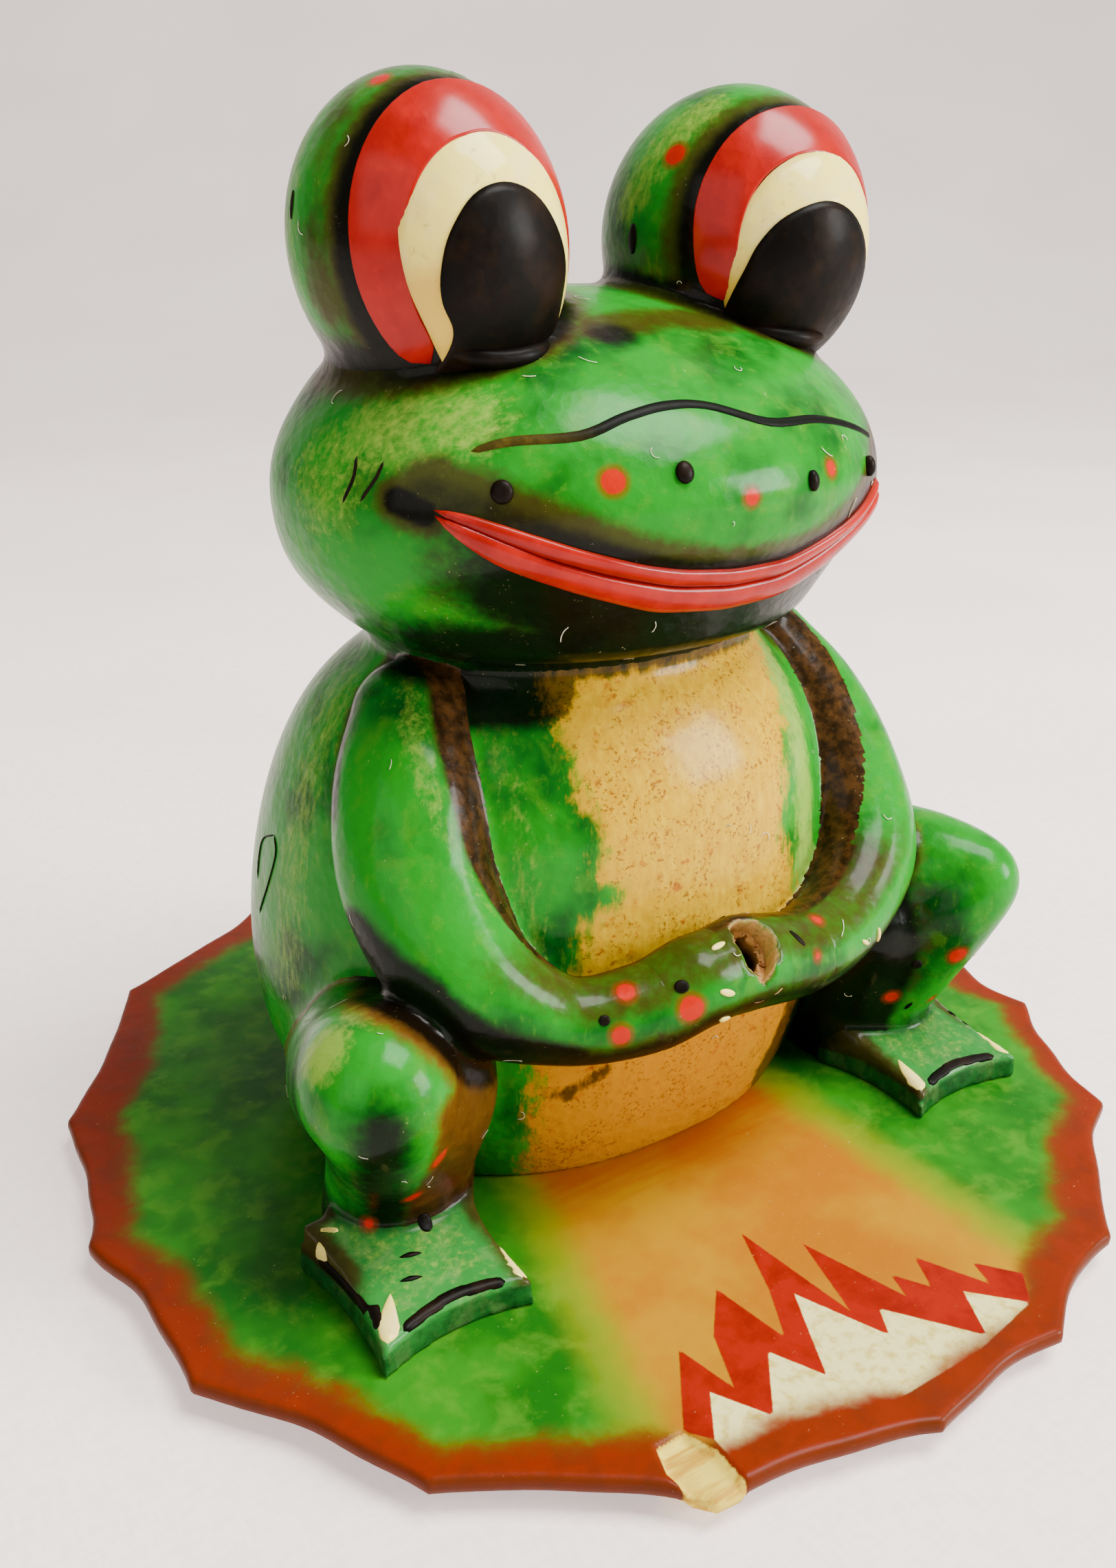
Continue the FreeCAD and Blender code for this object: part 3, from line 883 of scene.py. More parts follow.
def ellipsoid_mesh(centre, size, lean):
    steps = 72
    c, s = math.cos(math.radians(lean)), math.sin(math.radians(lean))
    points, faces = [], []
    for i in range(steps + 1):
        a = math.pi * i / steps
        for j in range(steps):
            b = 2 * math.pi * j / steps
            u = size[0] * math.sin(a) * math.cos(b)
            v = size[1] * math.cos(a)
            w = size[2] * math.sin(a) * math.sin(b)
            points.append(Vector((centre[0] + u * c + w * s, centre[1] + v, centre[2] - u * s + w * c)))
    for i in range(steps):
        for j in range(steps):
            a, b = i * steps + j, i * steps + (j + 1) % steps
            faces.append((a, a + steps, b + steps, b))
    return points, faces


def vertices_of(piece):
    out = np.zeros(len(piece.data.vertices) * 3, np.float32)
    piece.data.vertices.foreach_get("co", out)
    return out.reshape(-1, 3) / MM


def add_mask(piece, label, values):
    layer = piece.data.attributes.new(label, "FLOAT", "POINT")
    layer.data.foreach_set("value", np.asarray(values, np.float32))


def add_edge_mask(piece, side):
    """How far across the lid a point lies, and how near the lid's inner end it is."""
    p = vertices_of(piece)
    add_mask(piece, "cove_shade", to_line(p, RINGS[side]))
    add_mask(piece, "flare", to_point(p, RINGS[side][-1] if side == "right" else RINGS[side][0]))


def add_eye_mask(piece, side):
    p = vertices_of(piece)
    out = -1 if side == "right" else 1
    tail = [(-27.5, 110), (-25.5, 106)] if side == "right" else [(15, 110), (16, 107)]
    d = np.hypot(p[:, 0] - tail[0][0], p[:, 2] - tail[0][1])
    inner = fall(np.abs(p[:, 2] - 108), 1, 9) * fall(-p[:, 0] * out, -30, -24)
    add_mask(piece, "stain", np.maximum(fall(d, 2, 9), 0.6 * inner))


eyes()


# ---------------------------------------------------------------- mouth
LIP_PROFILE = [(-1.0, 0.0), (-0.97, 0.45), (-0.82, 0.8), (-0.4, 0.97), (0.0, 1.0), (0.4, 0.97),
               (0.82, 0.8), (0.97, 0.45), (1.0, 0.0)]
LIP_ENDS = (-31.0, 27.2)
LIP_POINTS = 61
LIP_OVERLAP = 1.06               # each lip is this much wider than its outline


def lips():
    """Each lip is swept along the middle between its two painted edges, and stands off by its dome."""
    for name, rows, dome in (("upper_lip", (MOUTH_TOP, LIP_SEAM), 0.75),
                             ("lower_lip", (LIP_SEAM, MOUTH_LOW), 1.05)):
        xs = np.linspace(*LIP_ENDS, LIP_POINTS)
        high = np.interp(xs, *zip(*rows[0]))
        low = np.interp(xs, *zip(*rows[1]))
        for _ in range(2):
            high[1:-1] = (high[:-2] + 2 * high[1:-1] + high[2:]) / 4
            low[1:-1] = (low[:-2] + 2 * low[1:-1] + low[2:]) / 4
        line = onto_front(list(zip(xs, (high + low) / 2)))
        wide = np.maximum((high - low) / 2, 0.35) * LIP_OVERLAP
        build = Build()
        sweep(build, line, wide, [(u, h * dome) for u, h in LIP_PROFILE], 3.0)
        piece = build.make(name, node=name, slot=SLOTS[name])
        p = vertices_of(piece)
        seam = np.interp(p[:, 0], *zip(*LIP_SEAM))
        add_mask(piece, "groove", np.abs(p[:, 2] - seam))
        add_mask(piece, "rim", np.minimum(np.abs(p[:, 2] - np.interp(p[:, 0], *zip(*MOUTH_TOP))),
                                          np.abs(p[:, 2] - np.interp(p[:, 0], *zip(*MOUTH_LOW)))))


lips()


# ---------------------------------------------------------------- painted marks
def mark(name, slot, strokes=(), dabs=()):
    build = Build()
    for line, half in strokes:
        rows = smooth_line(line, 5)
        halves = np.interp(np.linspace(0, 1, len(rows)), np.linspace(0, 1, len(np.atleast_1d(half))),
                           np.atleast_1d(half))
        sweep(build, rows, halves, THIN, 1.2, sink=0.3)
    for at, outline, height, turn in dabs:
        dab(build, at, outline, height, turn)
    return build.make(name, slot=slot)


NOSE = [(-27.3, -20, 97.9), (-23.9, -21.9, 98.8), (-17.6, -25.1, 99.2), (-12.2, -25.6, 100.8),
        (-7.4, -25.8, 101.6), (-2.8, -26.5, 101.4), (4.4, -28.3, 99.1), (12.3, -27.2, 98.8),
        (20.6, -25.1, 97.1), (26, -23, 95.5)]
nose = mark("nose_line", "pupil_black", [(NOSE, [0.35, 0.55, 0.6, 0.6, 0.65, 0.6, 0.6, 0.55, 0.45, 0.3])])
add_mask(nose, "fade", np.clip((vertices_of(nose)[:, 0] + 27) / 16, 0, 1))
mark("freckles", "pupil_black",
     strokes=[([(-36.4, -10.4, 97.6), (-36.3, -10.6, 94.8), (-36.9, -9.6, 92.0)], 0.2),
              ([(-34.4, -13.6, 97.0), (-34.9, -13.2, 95.0), (-35.9, -11.8, 92.4)], 0.2),
              ([(-38.5, 12.5, 46.6), (-39.1, 11.0, 44.5), (-40.0, 12.6, 39.6), (-40.4, 15.4, 34.6)], 0.12),
              ([(-38.5, 12.5, 46.6), (-38.6, 17.0, 44), (-39.6, 17.3, 38.6)], 0.12)],
     dabs=[((-8.5, -29.8, 95.0), oval(0.95, 1.15), 0.75, 0), ((8.0, -30.4, 92.9), oval(0.7, 1.1), 0.7, 0),
           ((-25.7, -23.3, 94.1), oval(1.15, 1.2), 0.8, 0), ((21.8, -26.0, 92.7), oval(0.75, 1.15), 0.9, 0),
           ((7.5, 0.5, 117), oval(0.7, 1.7), 0.2, 0), ((-35.0, 2.0, 120.5), oval(0.4, 1.4), 0.15, 0),
           ((-11.0, -36.3, 39.4), oval(0.85, 0.75), 0.2, 0), ((-20.3, -34.9, 37.4), oval(0.65, 0.6), 0.2, 0),
           ((6.5, -36, 40), oval(0.35, 1.3), 0.15, -15), ((37, -29, 23.5), oval(0.75, 0.7), 0.2, 0),
           ((38.5, -27, 15.5), oval(0.3, 0.8), 0.15, 30)])


CLAW_LONG = 6.5
CLAW_IN = 1.6                    # its blunt end stands this far inside the edge
CLAW_WAY = {"right": (-0.5, 0.87), "left": (0.25, 0.97)}  # from the blunt end to the point
CLAW_AT = {"right": ((0, 0.22), (1, 0), (1, 1)),          # edge of FOOT, and how far along it
           "left": ((1, 0), (1, 1))}
WEB_EDGES = {"right": (0, 1), "left": (1,)}               # which edges have a black line
WEB_IN = 1.3                     # the line's distance inside the edge


def feet_marks():
    black, cream = [], []
    middle = np.mean(FOOT, axis=0)
    for side, k in SIDES.items():
        way = np.array(CLAW_WAY[side])
        for i, along in CLAW_AT[side]:
            at = np.array(FOOT[i]) * (1 - along) + np.array(FOOT[i + 1]) * along
            at = at + (middle - at) / np.linalg.norm(middle - at) * CLAW_IN
            line = [at + way * CLAW_LONG * t for t in (1, 0.66, 0.33, 0)]
            cream.append(([(x * k, y, 9.6) for x, y in line], [0.15, 0.75, 1.25, 0.95]))
        plan = np.array(foot_outline(1))
        for i in WEB_EDGES[side]:
            edge = plan[i * FOOT_STEPS + 1:(i + 1) * FOOT_STEPS]
            to_middle = middle - edge
            edge = edge + to_middle / np.linalg.norm(to_middle, axis=1)[:, None] * WEB_IN
            black.append(([(x * k, y, 8.6) for x, y in edge], 0.75))
    for x, y in ((-42, -27.5), (-43.5, -30.5)):           # two short dashes on the right foot
        black.append(([(x - 1.3, y + 0.3, 10), (x, y + 0.1, 10), (x + 1.3, y - 0.3, 10)], [0.2, 0.38, 0.2]))
    for x, y in ((49, -26.5), (50, -29)):                 # and two on the left one
        black.append(([(x - 0.2, y + 0.8, 10), (x, y, 10), (x + 0.1, y - 0.8, 10)], [0.2, 0.38, 0.2]))
    mark("foot_lines", "pupil_black", black, [((-38.5, -24.5, 11), oval(0.8, 1.3), 0.14, 0)])
    mark("claws", "eye_cream", cream)


feet_marks()
mark("finger_nails", "eye_cream",
     dabs=[((-4.8, -35.0, 42.0), oval(1.05, 0.36), 0.22, -8), ((-6, -38.5, 38), oval(1.1, 0.42), 0.22, 24),
           ((-5.5, -37.5, 34), oval(1.05, 0.5), 0.22, 24), ((22.5, -34.5, 35), oval(1.2, 0.35), 0.25, 75),
           ((19, -35.5, 35.5), oval(0.9, 0.3), 0.22, 35)])


def torn_rim():
    """Ragged paper lifted round the hole."""
    rng = np.random.default_rng(7)
    build = Build()
    count = 56
    wobble = rng.uniform(0, 1, count)
    tear = np.convolve(np.tile(wobble, 3), [0.25, 0.5, 0.25], "same")[count:2 * count]
    rows = [[] for _ in range(6)]
    for j in range(count):
        a = 2 * math.pi * j / count
        c, s = math.cos(a), math.sin(a)
        way = HOLE_SIDE * c * HOLE_HALF[0] + HOLE_UP * s * HOLE_HALF[1]
        unit = way / np.linalg.norm(way)
        lip = 0.5 + 1.5 * tear[j]
        base, n = on_skin(HOLE_AT + way * 1.12 + HOLE_OUT * 0.5)
        rows[0].append(base - HOLE_OUT * 0.9 - unit * 0.2)
        rows[1].append(base + n * 0.1 - unit * 0.35)
        rows[2].append(base + n * (0.25 + lip * 0.62) - unit * 0.1)
        rows[3].append(base + n * (0.2 + lip * 0.5) + unit * (0.4 + 0.5 * wobble[j]))
        out, m = on_skin(base + unit * (0.75 + 0.9 * wobble[(j * 7) % count]))
        rows[4].append(out + m * 0.1)
        rows[5].append(out - m * 0.4)
    build.grid(rows)
    build.faces = [f for f in build.faces if len(f) == 4]
    for j in range(count):
        after = (j + 1) % count
        build.faces.append((5 * count + j, 5 * count + after, after, j))
    return build.make("socket_tear", slot="limb_paint")


torn_rim()


LINT_COUNT = 95
LINT_TRIES = 900
LINT_BENDS = 6


def lint():
    """Short pale hairs of paper and dust caught in the lacquer."""
    rng = np.random.default_rng(21)
    build = Build()
    spots = rng.choice(len(skin_points), LINT_TRIES, replace=False)
    made = 0
    for i in spots:
        p = skin_points[i]
        if made >= LINT_COUNT:
            break
        if p[2] < 14 or (p[1] > 8 and rng.uniform() < 0.6):
            continue
        spot, up = on_skin(p)
        way = np.cross(up, rng.normal(size=3))
        way /= np.linalg.norm(way)
        length, curl = rng.uniform(0.5, 2.6), rng.normal(0, 0.55)
        line = [spot]
        for _ in range(LINT_BENDS):
            way = way + np.cross(up, way) * curl * rng.uniform(0.3, 1.2)
            way /= np.linalg.norm(way)
            spot, up = on_skin(spot + way * length / LINT_BENDS)
            line.append(spot)
        rows = []
        r = rng.uniform(0.035, 0.06)
        for j, q in enumerate(line):
            ahead = line[min(j + 1, LINT_BENDS)] - line[max(j - 1, 0)]
            ahead /= max(np.linalg.norm(ahead), 1e-9)
            n = on_skin(q)[1]
            side = np.cross(n, ahead)
            rows.append([q + n * (0.05 + r) + (side * math.cos(a) + n * math.sin(a)) * r
                         for a in (0.5, 2.6, 4.7)])
        build.grid(rows)
        made += 1
    return build.make("lint")


lint()


# ---------------------------------------------------------------- lily pad
RIM = [(-114, 74.6), (-94, 74.7), (-78, 74.3), (-63, 74.3), (-41, 73.8), (-20, 72.9), (-8, 71.2), (9, 72.6),
       (31, 73.4), (52, 74.2), (71, 73.2), (88, 74.6), (106, 75.6), (130, 75.0), (157, 71.8), (179, 70.8),
       (201, 72.8), (224, 74.0)]
SCALLOP = 1.3
FLAME_TOP = [(-28.5, -60.5), (-22, -51.5), (-20.5, -59), (-17.5, -52), (-12.5, -46.5),
             (-11, -56.5), (-7.5, -50),
             (-4, -41), (-2, -57.5), (1, -46.5), (5, -59.5), (6, -56), (8.5, -60), (10.5, -55.5),
             (14.5, -63.5), (15.5, -60), (19, -64.5)]                  # tips and valleys of the tongues
FLAME_LOW = [(16, -68), (11, -62.5), (8, -68.5), (1, -59), (-1, -62.5), (-5.5, -52), (-11, -63), (-14, -57),
             (-19.5, -64), (-23, -58), (-26.5, -63)]
CREAM_EDGE = [(-26.5, -63), (-26.5, -66.5), (-18, -68.5), (-6, -69.5), (6, -69.5), (16, -68)]
CHIP = [(-32, -60.5), (-28.5, -60.5), (-27, -64), (-27, -69.5), (-32, -69), (-33, -63.5)]


PAD_TURNS = 900                  # points round the pad
PAD_RINGS = 190                  # and from its middle to its edge
# The edge as (outward, height): rounded top, a short upright face, then the undercut.
PAD_EDGE = [(-0.9, 5.0), (-0.45, 4.9), (-0.15, 4.65), (-0.02, 4.3), (0.0, 3.9), (-0.05, 3.4),
            (-0.3, 2.95), (-1.4, 1.75), (-2.6, 0.6), (-3.2, 0.1), (-3.6, 0.0)]
RIM_WIDTH = 5.6                  # mean width of the painted rust rim
CHIP_DEEP = 0.9


def pad_outline():
    """The scalloped edge as (bearing, radius) rows."""
    rows = []
    corners = [(r * math.cos(math.radians(a)), r * math.sin(math.radians(a))) for a, r in RIM]
    for (ax, ay), (bx, by) in zip(corners, corners[1:] + corners[:1]):
        for i in range(12):
            t = i / 12
            x, y = ax + (bx - ax) * t, ay + (by - ay) * t
            bow = 1 - SCALLOP * 4 * t * (1 - t) / math.hypot(x, y)
            rows.append((math.atan2(y * bow, x * bow), math.hypot(x, y) * bow))
    rows.sort()
    return rows


def lily_pad():
    turns, rings = PAD_TURNS, PAD_RINGS
    rows = pad_outline()
    bearing = np.linspace(-math.pi, math.pi, turns, endpoint=False)
    edge = np.interp(bearing, [r[0] for r in rows], [r[1] for r in rows], period=2 * math.pi)
    rng = np.random.default_rng(3)
    ripple = sum(rng.uniform(0.02, 0.06) * np.sin(m * bearing + rng.uniform(0, 6)) for m in range(9, 40))
    edge = edge + ripple
    loops = []
    for i in range(rings):
        r = i / rings * (edge + PAD_EDGE[0][0])
        loops.append((r, np.full(turns, PAD_TOP)))
    for outward, height in PAD_EDGE:
        loops.append((edge + outward, np.full(turns, height)))
    for share in (0.7, 0.4, 0.1):
        loops.append((share * (edge + PAD_EDGE[-1][0]), np.zeros(turns)))
    x = np.concatenate([r * np.cos(bearing) for r, _ in loops])
    y = np.concatenate([r * np.sin(bearing) for r, _ in loops])
    z = np.concatenate([h for _, h in loops])
    reach = np.concatenate([edge - r for r, _ in loops])
    topside = fall(-z, -3.2, -2.8)
    chip = to_outline(x, y, CHIP)
    wave = 0.22 * np.sin(x / 17 + 1) * np.cos(y / 21) + 0.1 * np.sin(x / 6.3 + y / 8)
    z = z + topside * (wave - 0.15)
    z = z - topside * CHIP_DEEP * fall(chip, -0.5, 0.15)
    points = np.stack([x, y, z], 1)
    n = turns
    a = np.arange(n)
    b = (a + 1) % n
    faces = []
    for i in range(len(loops) - 1):
        faces += np.stack([i * n + a, i * n + b, (i + 1) * n + b, (i + 1) * n + a], 1).tolist()
    points[:n] = (0, 0, PAD_TOP - 0.15)
    last = (len(loops) - 1) * n
    faces.append((last + a).tolist())
    flame = to_outline(x, y, FLAME_TOP + FLAME_LOW)
    cream = to_outline(x, y, FLAME_LOW[::-1] + CREAM_EDGE[::-1])
    width = RIM_WIDTH + 1.0 * np.sin(np.arctan2(y, x) * 3) + 0.8 * np.sin(np.arctan2(y, x) * 7 + 2)
    # The orange sector lies between two soft edges that open from the belly to the rim.
    left = (x + 22 + (-y - 20) * 0.27) * 0.96
    right = (20.5 + (-y - 20) * 0.07 - x) * 0.99
    orange = np.where(y < 0, np.minimum(left, right), -20)
    masks = {"rim": reach - width, "blaze": flame, "cream": cream, "chip": chip, "orange": orange,
             "reach": reach, "seat": np.hypot(x / 37, (y - 8) / 31)}
    piece = make_piece("lily_pad", points, faces, node="lily_pad", slot=SLOTS["lily_pad"], masks=masks)
    tidy = bmesh.new()
    tidy.from_mesh(piece.data)
    bmesh.ops.remove_doubles(tidy, verts=tidy.verts[:], dist=1e-7)
    bmesh.ops.recalc_face_normals(tidy, faces=tidy.faces)
    tidy.to_mesh(piece.data)
    tidy.free()


lily_pad()


# ---------------------------------------------------------------- materials
def rgb(red, green, blue):
    """A screen colour, 0 to 255, as the linear one a shader takes."""
    out = []
    for v in (red, green, blue):
        v /= 255.0
        out.append(v / 12.92 if v <= 0.04045 else ((v + 0.055) / 1.055) ** 2.4)
    return (*out, 1.0)


SHINE = 0.1
LACQUER_IOR = 1.3


class Paint:
    """A material and short names for the nodes it is made of; lengths are millimetres."""

    def __init__(self, name):
        self.material = bpy.data.materials.new(name)
        self.material.use_nodes = True
        self.tree = self.material.node_tree
        self.shader = self.tree.nodes["Principled BSDF"]
        where = self.add("ShaderNodeTexCoord").outputs["Object"]
        scaled = self.add("ShaderNodeVectorMath", operation="SCALE")
        self.link(where, scaled.inputs[0])
        scaled.inputs["Scale"].default_value = 1 / MM
        self.at = scaled.outputs[0]

    def add(self, kind, **settings):
        node = self.tree.nodes.new(kind)
        for key, value in settings.items():
            setattr(node, key, value)
        return node

    def link(self, source, target):
        if hasattr(source, "is_output"):
            self.tree.links.new(source, target)
        else:
            target.default_value = source
        return target

    def mask(self, name):
        return self.add("ShaderNodeAttribute", attribute_name=name).outputs["Fac"]

    def stretched(self, scale, turn=(0, 0, 0)):
        node = self.add("ShaderNodeMapping", vector_type="POINT")
        self.link(self.at, node.inputs["Vector"])
        node.inputs["Scale"].default_value = scale
        node.inputs["Rotation"].default_value = turn
        return node.outputs[0]

    def noise(self, size, detail=3.0, rough=0.55, at=None, twist=0.0):
        """Noise with features of about that size in millimetres, from 0 to 1."""
        node = self.add("ShaderNodeTexNoise")
        self.link(at or self.at, node.inputs["Vector"])
        node.inputs["Scale"].default_value = 1.0 / size
        node.inputs["Detail"].default_value = detail
        node.inputs["Roughness"].default_value = rough
        node.inputs["Distortion"].default_value = twist
        return node.outputs["Fac"]

    def cells(self, size):
        node = self.add("ShaderNodeTexVoronoi", feature="F1")
        self.link(self.at, node.inputs["Vector"])
        node.inputs["Scale"].default_value = 1.0 / size
        return node.outputs["Distance"]

    def math(self, operation, a, b=0.0):
        node = self.add("ShaderNodeMath", operation=operation)
        self.link(a, node.inputs[0])
        self.link(b, node.inputs[1])
        return node.outputs[0]

    def step(self, value, low, high, smooth=True):
        """0 below low, 1 above high; low may be the larger one."""
        node = self.add("ShaderNodeMapRange", interpolation_type="SMOOTHSTEP" if smooth else "LINEAR")
        self.link(value, node.inputs["Value"])
        node.inputs["From Min"].default_value = low
        node.inputs["From Max"].default_value = high
        return node.outputs["Result"]

    def shift(self, value, noise, amount):
        """value moved by up to half of amount either way by a noise."""
        return self.math("ADD", value, self.math("MULTIPLY", self.math("SUBTRACT", noise, 0.5), amount))

    def mix(self, share, a, b):
        node = self.add("ShaderNodeMix", data_type="RGBA")
        self.link(share, node.inputs["Factor"])
        self.link(a, node.inputs["A"])
        self.link(b, node.inputs["B"])
        return node.outputs["Result"]

    def over(self, color, paint, share, strength):
        """color with paint over it where share is 1, let through by strength."""
        return self.mix(self.math("MULTIPLY", share, strength), color, paint)

    def scaled(self, value, times, plus):
        return self.math("ADD", self.math("MULTIPLY", value, times), plus)

    def bump(self, height, amount, distance, before=None):
        node = self.add("ShaderNodeBump")
        self.link(height, node.inputs["Height"])
        node.inputs["Strength"].default_value = amount
        node.inputs["Distance"].default_value = distance * MM
        if before:
            self.link(before, node.inputs["Normal"])
        return node.outputs[0]

    def finish(self, color, rough, normal, coat=0.12, coat_rough=0.14):
        self.link(color, self.shader.inputs["Base Color"])
        self.link(rough, self.shader.inputs["Roughness"])
        self.link(normal, self.shader.inputs["Normal"])
        self.shader.inputs["Specular IOR Level"].default_value = SHINE
        self.shader.inputs["IOR"].default_value = LACQUER_IOR
        self.shader.inputs["Coat Weight"].default_value = coat
        self.shader.inputs["Coat Roughness"].default_value = coat_rough
        return self.material


GREEN = rgb(12, 122, 22)
DEEP_GREEN = rgb(2, 58, 12)
LEAF = rgb(70, 130, 22)
PALE_GREEN = rgb(128, 158, 56)
BROWN = rgb(54, 28, 8)
BLACK = rgb(3, 3, 2)
RED = rgb(156, 10, 0)
ORANGE = rgb(170, 102, 0)
OCHRE = rgb(180, 138, 4)
CREAM_PAINT = rgb(230, 212, 104)
RAW_PAPER = rgb(202, 160, 98)


def lacquer_bump(p, grain=1.0):
    """The leathery skin of lacquered paper: shallow pebbles, finer grain and a slow waviness."""
    pebbles = p.cells(1.5)
    fine = p.noise(0.45, 2.0)
    slow = p.noise(9.0, 2.0)
    first = p.bump(slow, 0.25, 1.6)
    second = p.bump(pebbles, 0.22 * grain, 0.35, first)
    return p.bump(fine, 0.2 * grain, 0.12, second)


def skin_paint(name, panel=None, green=GREEN, deep=DEEP_GREEN, pale=LEAF, stroke=(1, 1, 0.35), brown=BROWN):
    """Airbrushed lacquer: greens, brown and black mists that hold painted shade, pale green that holds
    painted highlights, then bands, spots, wear and dust.
    """
    p = Paint(name)
    coarse = p.noise(11.0, 3.0)
    patch = p.noise(4.2, 4.0, 0.6, twist=0.4)
    mid = p.noise(1.7, 4.0, 0.65)
    fine = p.noise(0.5, 3.0, 0.7)
    brush = p.noise(1.0, 4.0, 0.65, at=p.stretched(stroke))
    color = p.mix(p.step(coarse, 0.42, 0.74), green, deep)
    color = p.over(color, pale, p.step(patch, 0.5, 0.68), 0.36)
    color = p.over(color, pale, p.step(brush, 0.56, 0.72), 0.3)
    # The pale mask: pale green brushwork, and painted highlights on the upper arms, the knee ridge, the
    # cheeks and the tops of the feet.
    pale_paint_and_highlight = p.shift(p.shift(p.mask("pale"), brush, 1.3), fine, 0.5)
    color = p.over(color, PALE_GREEN, p.step(pale_paint_and_highlight, 0.25, 1.0), 0.8)
    # The brown mask: the figure's brown airbrush, and painted shade round the creases and under the
    # forearms.
    brown_paint_and_shade = p.step(p.shift(p.mask("brown"), mid, 0.6), 0.25, 0.95)
    color = p.over(color, brown, brown_paint_and_shade, 0.85)
    # The dark mask lays black: the figure's black airbrush, and painted shade in the creases, under the head
    # and on faces turned down or away.
    black_paint_and_shade = p.step(p.shift(p.mask("dark"), mid, 0.4), 0.18, 0.85)
    color = p.over(color, BLACK, black_paint_and_shade, 0.97)
    edge = p.mask("edge")
    if panel == "band":
        drawn = p.step(p.shift(edge, brush, 0.6), 0.45, -0.45)
        tone = p.mix(p.step(mid, 0.35, 0.7), rgb(28, 18, 5), rgb(66, 42, 15))
        color = p.mix(drawn, color, tone)
    if panel == "belly":
        ragged = p.shift(p.shift(edge, brush, 7.0), patch, 5.0)
        drawn = p.step(ragged, 1.6, -1.4)
        height = p.add("ShaderNodeSeparateXYZ")
        p.link(p.at, height.inputs[0])
        low = p.step(p.shift(height.outputs[2], patch, 10.0), 34.0, 24.0)
        ochre = p.mix(p.step(brush, 0.35, 0.75), OCHRE, rgb(196, 160, 14))
        ochre = p.over(ochre, ORANGE, low, 0.75)
        rubbed = p.math("MULTIPLY", p.step(mid, 0.55, 0.7), p.step(coarse, 0.42, 0.6))
        ochre = p.over(ochre, rgb(150, 72, 8), rubbed, 0.8)
        specks = p.math("MULTIPLY", p.step(fine, 0.55, 0.61), p.step(patch, 0.42, 0.54))
        ochre = p.over(ochre, rgb(110, 48, 6), specks, 0.75)
        # On the ochre panel the dark mask lays brown-black: the torn smudge, and painted shade under the
        # head and beside the arms and legs.
        smudge_and_shade = p.step(p.shift(p.shift(p.mask("dark"), brush, 1.1), patch, 0.7), 0.3, 0.75)
        ochre = p.over(ochre, rgb(34, 20, 4), smudge_and_shade, 0.85)
        color = p.mix(drawn, color, ochre)
    spots = p.shift(p.mask("spots"), mid, 0.35)
    color = p.over(color, rgb(110, 36, 8), p.step(spots, 0.9, 0.1), 0.6)
    color = p.mix(p.step(spots, 0.15, -0.2), color, rgb(168, 20, 0))
    scuff = p.math("MULTIPLY", p.step(fine, 0.66, 0.74), p.step(patch, 0.5, 0.62))
    color = p.over(color, rgb(208, 196, 140), scuff, 0.35)
    raw = p.step(p.shift(p.mask("raw"), fine, 0.5), 0.35, -0.2)
    # Raw paper at the torn lip, going dark deeper in: painted shade inside the hole.
    hole_paper_and_shade = p.mix(p.step(p.mask("raw"), -0.2, -1.5), RAW_PAPER, rgb(44, 9, 3))
    color = p.mix(raw, color, hole_paper_and_shade)
    rough = p.step(p.shift(p.math("MULTIPLY", mid, 0.5), patch, 0.4), -1.2, 1.6, smooth=False)
    rough = p.math("ADD", rough, p.math("MULTIPLY", raw, 0.4))
    rough = p.math("ADD", rough, -0.22)
    return p.finish(color, rough, lacquer_bump(p), 0.12, 0.14)


def red_paint(name, lip=False):
    p = Paint(name)
    mid = p.noise(1.6, 4.0, 0.6)
    patch = p.noise(5.0, 3.0)
    fine = p.noise(0.4, 3.0, 0.7)
    color = p.mix(p.step(patch, 0.35, 0.65), RED, rgb(138, 2, 0))
    color = p.over(color, rgb(176, 16, 1), p.step(mid, 0.52, 0.72), 0.5)
    if lip:
        shade = p.step(p.shift(p.mask("groove"), fine, 0.2), 0.5, 0.1)
        color = p.over(color, rgb(104, 6, 2), shade, 0.6)
        worn = p.math("MULTIPLY", p.step(p.shift(p.mask("rim"), mid, 1.0), 0.3, 0.0), 0.5)
        color = p.mix(worn, color, rgb(120, 40, 20))
    else:
        # Darker red away from the lid's middle line: painted shade in the lid's cove.
        cove_shade = p.step(p.shift(p.mask("cove_shade"), fine, 0.4), 0.4, 1.4)
        color = p.over(color, rgb(150, 14, 8), cove_shade, 0.35)
        flare = p.step(p.shift(p.mask("flare"), mid, 2.0), 6.0, 1.0)
        color = p.over(color, rgb(196, 84, 28), flare, 0.7)
    grime = p.math("MULTIPLY", p.step(fine, 0.62, 0.74), p.step(patch, 0.45, 0.6))
    color = p.over(color, rgb(70, 16, 8), grime, 0.5)
    rough = p.scaled(mid, 0.3, 0.24)
    return p.finish(color, rough, lacquer_bump(p, 0.7), 0.32, 0.2)


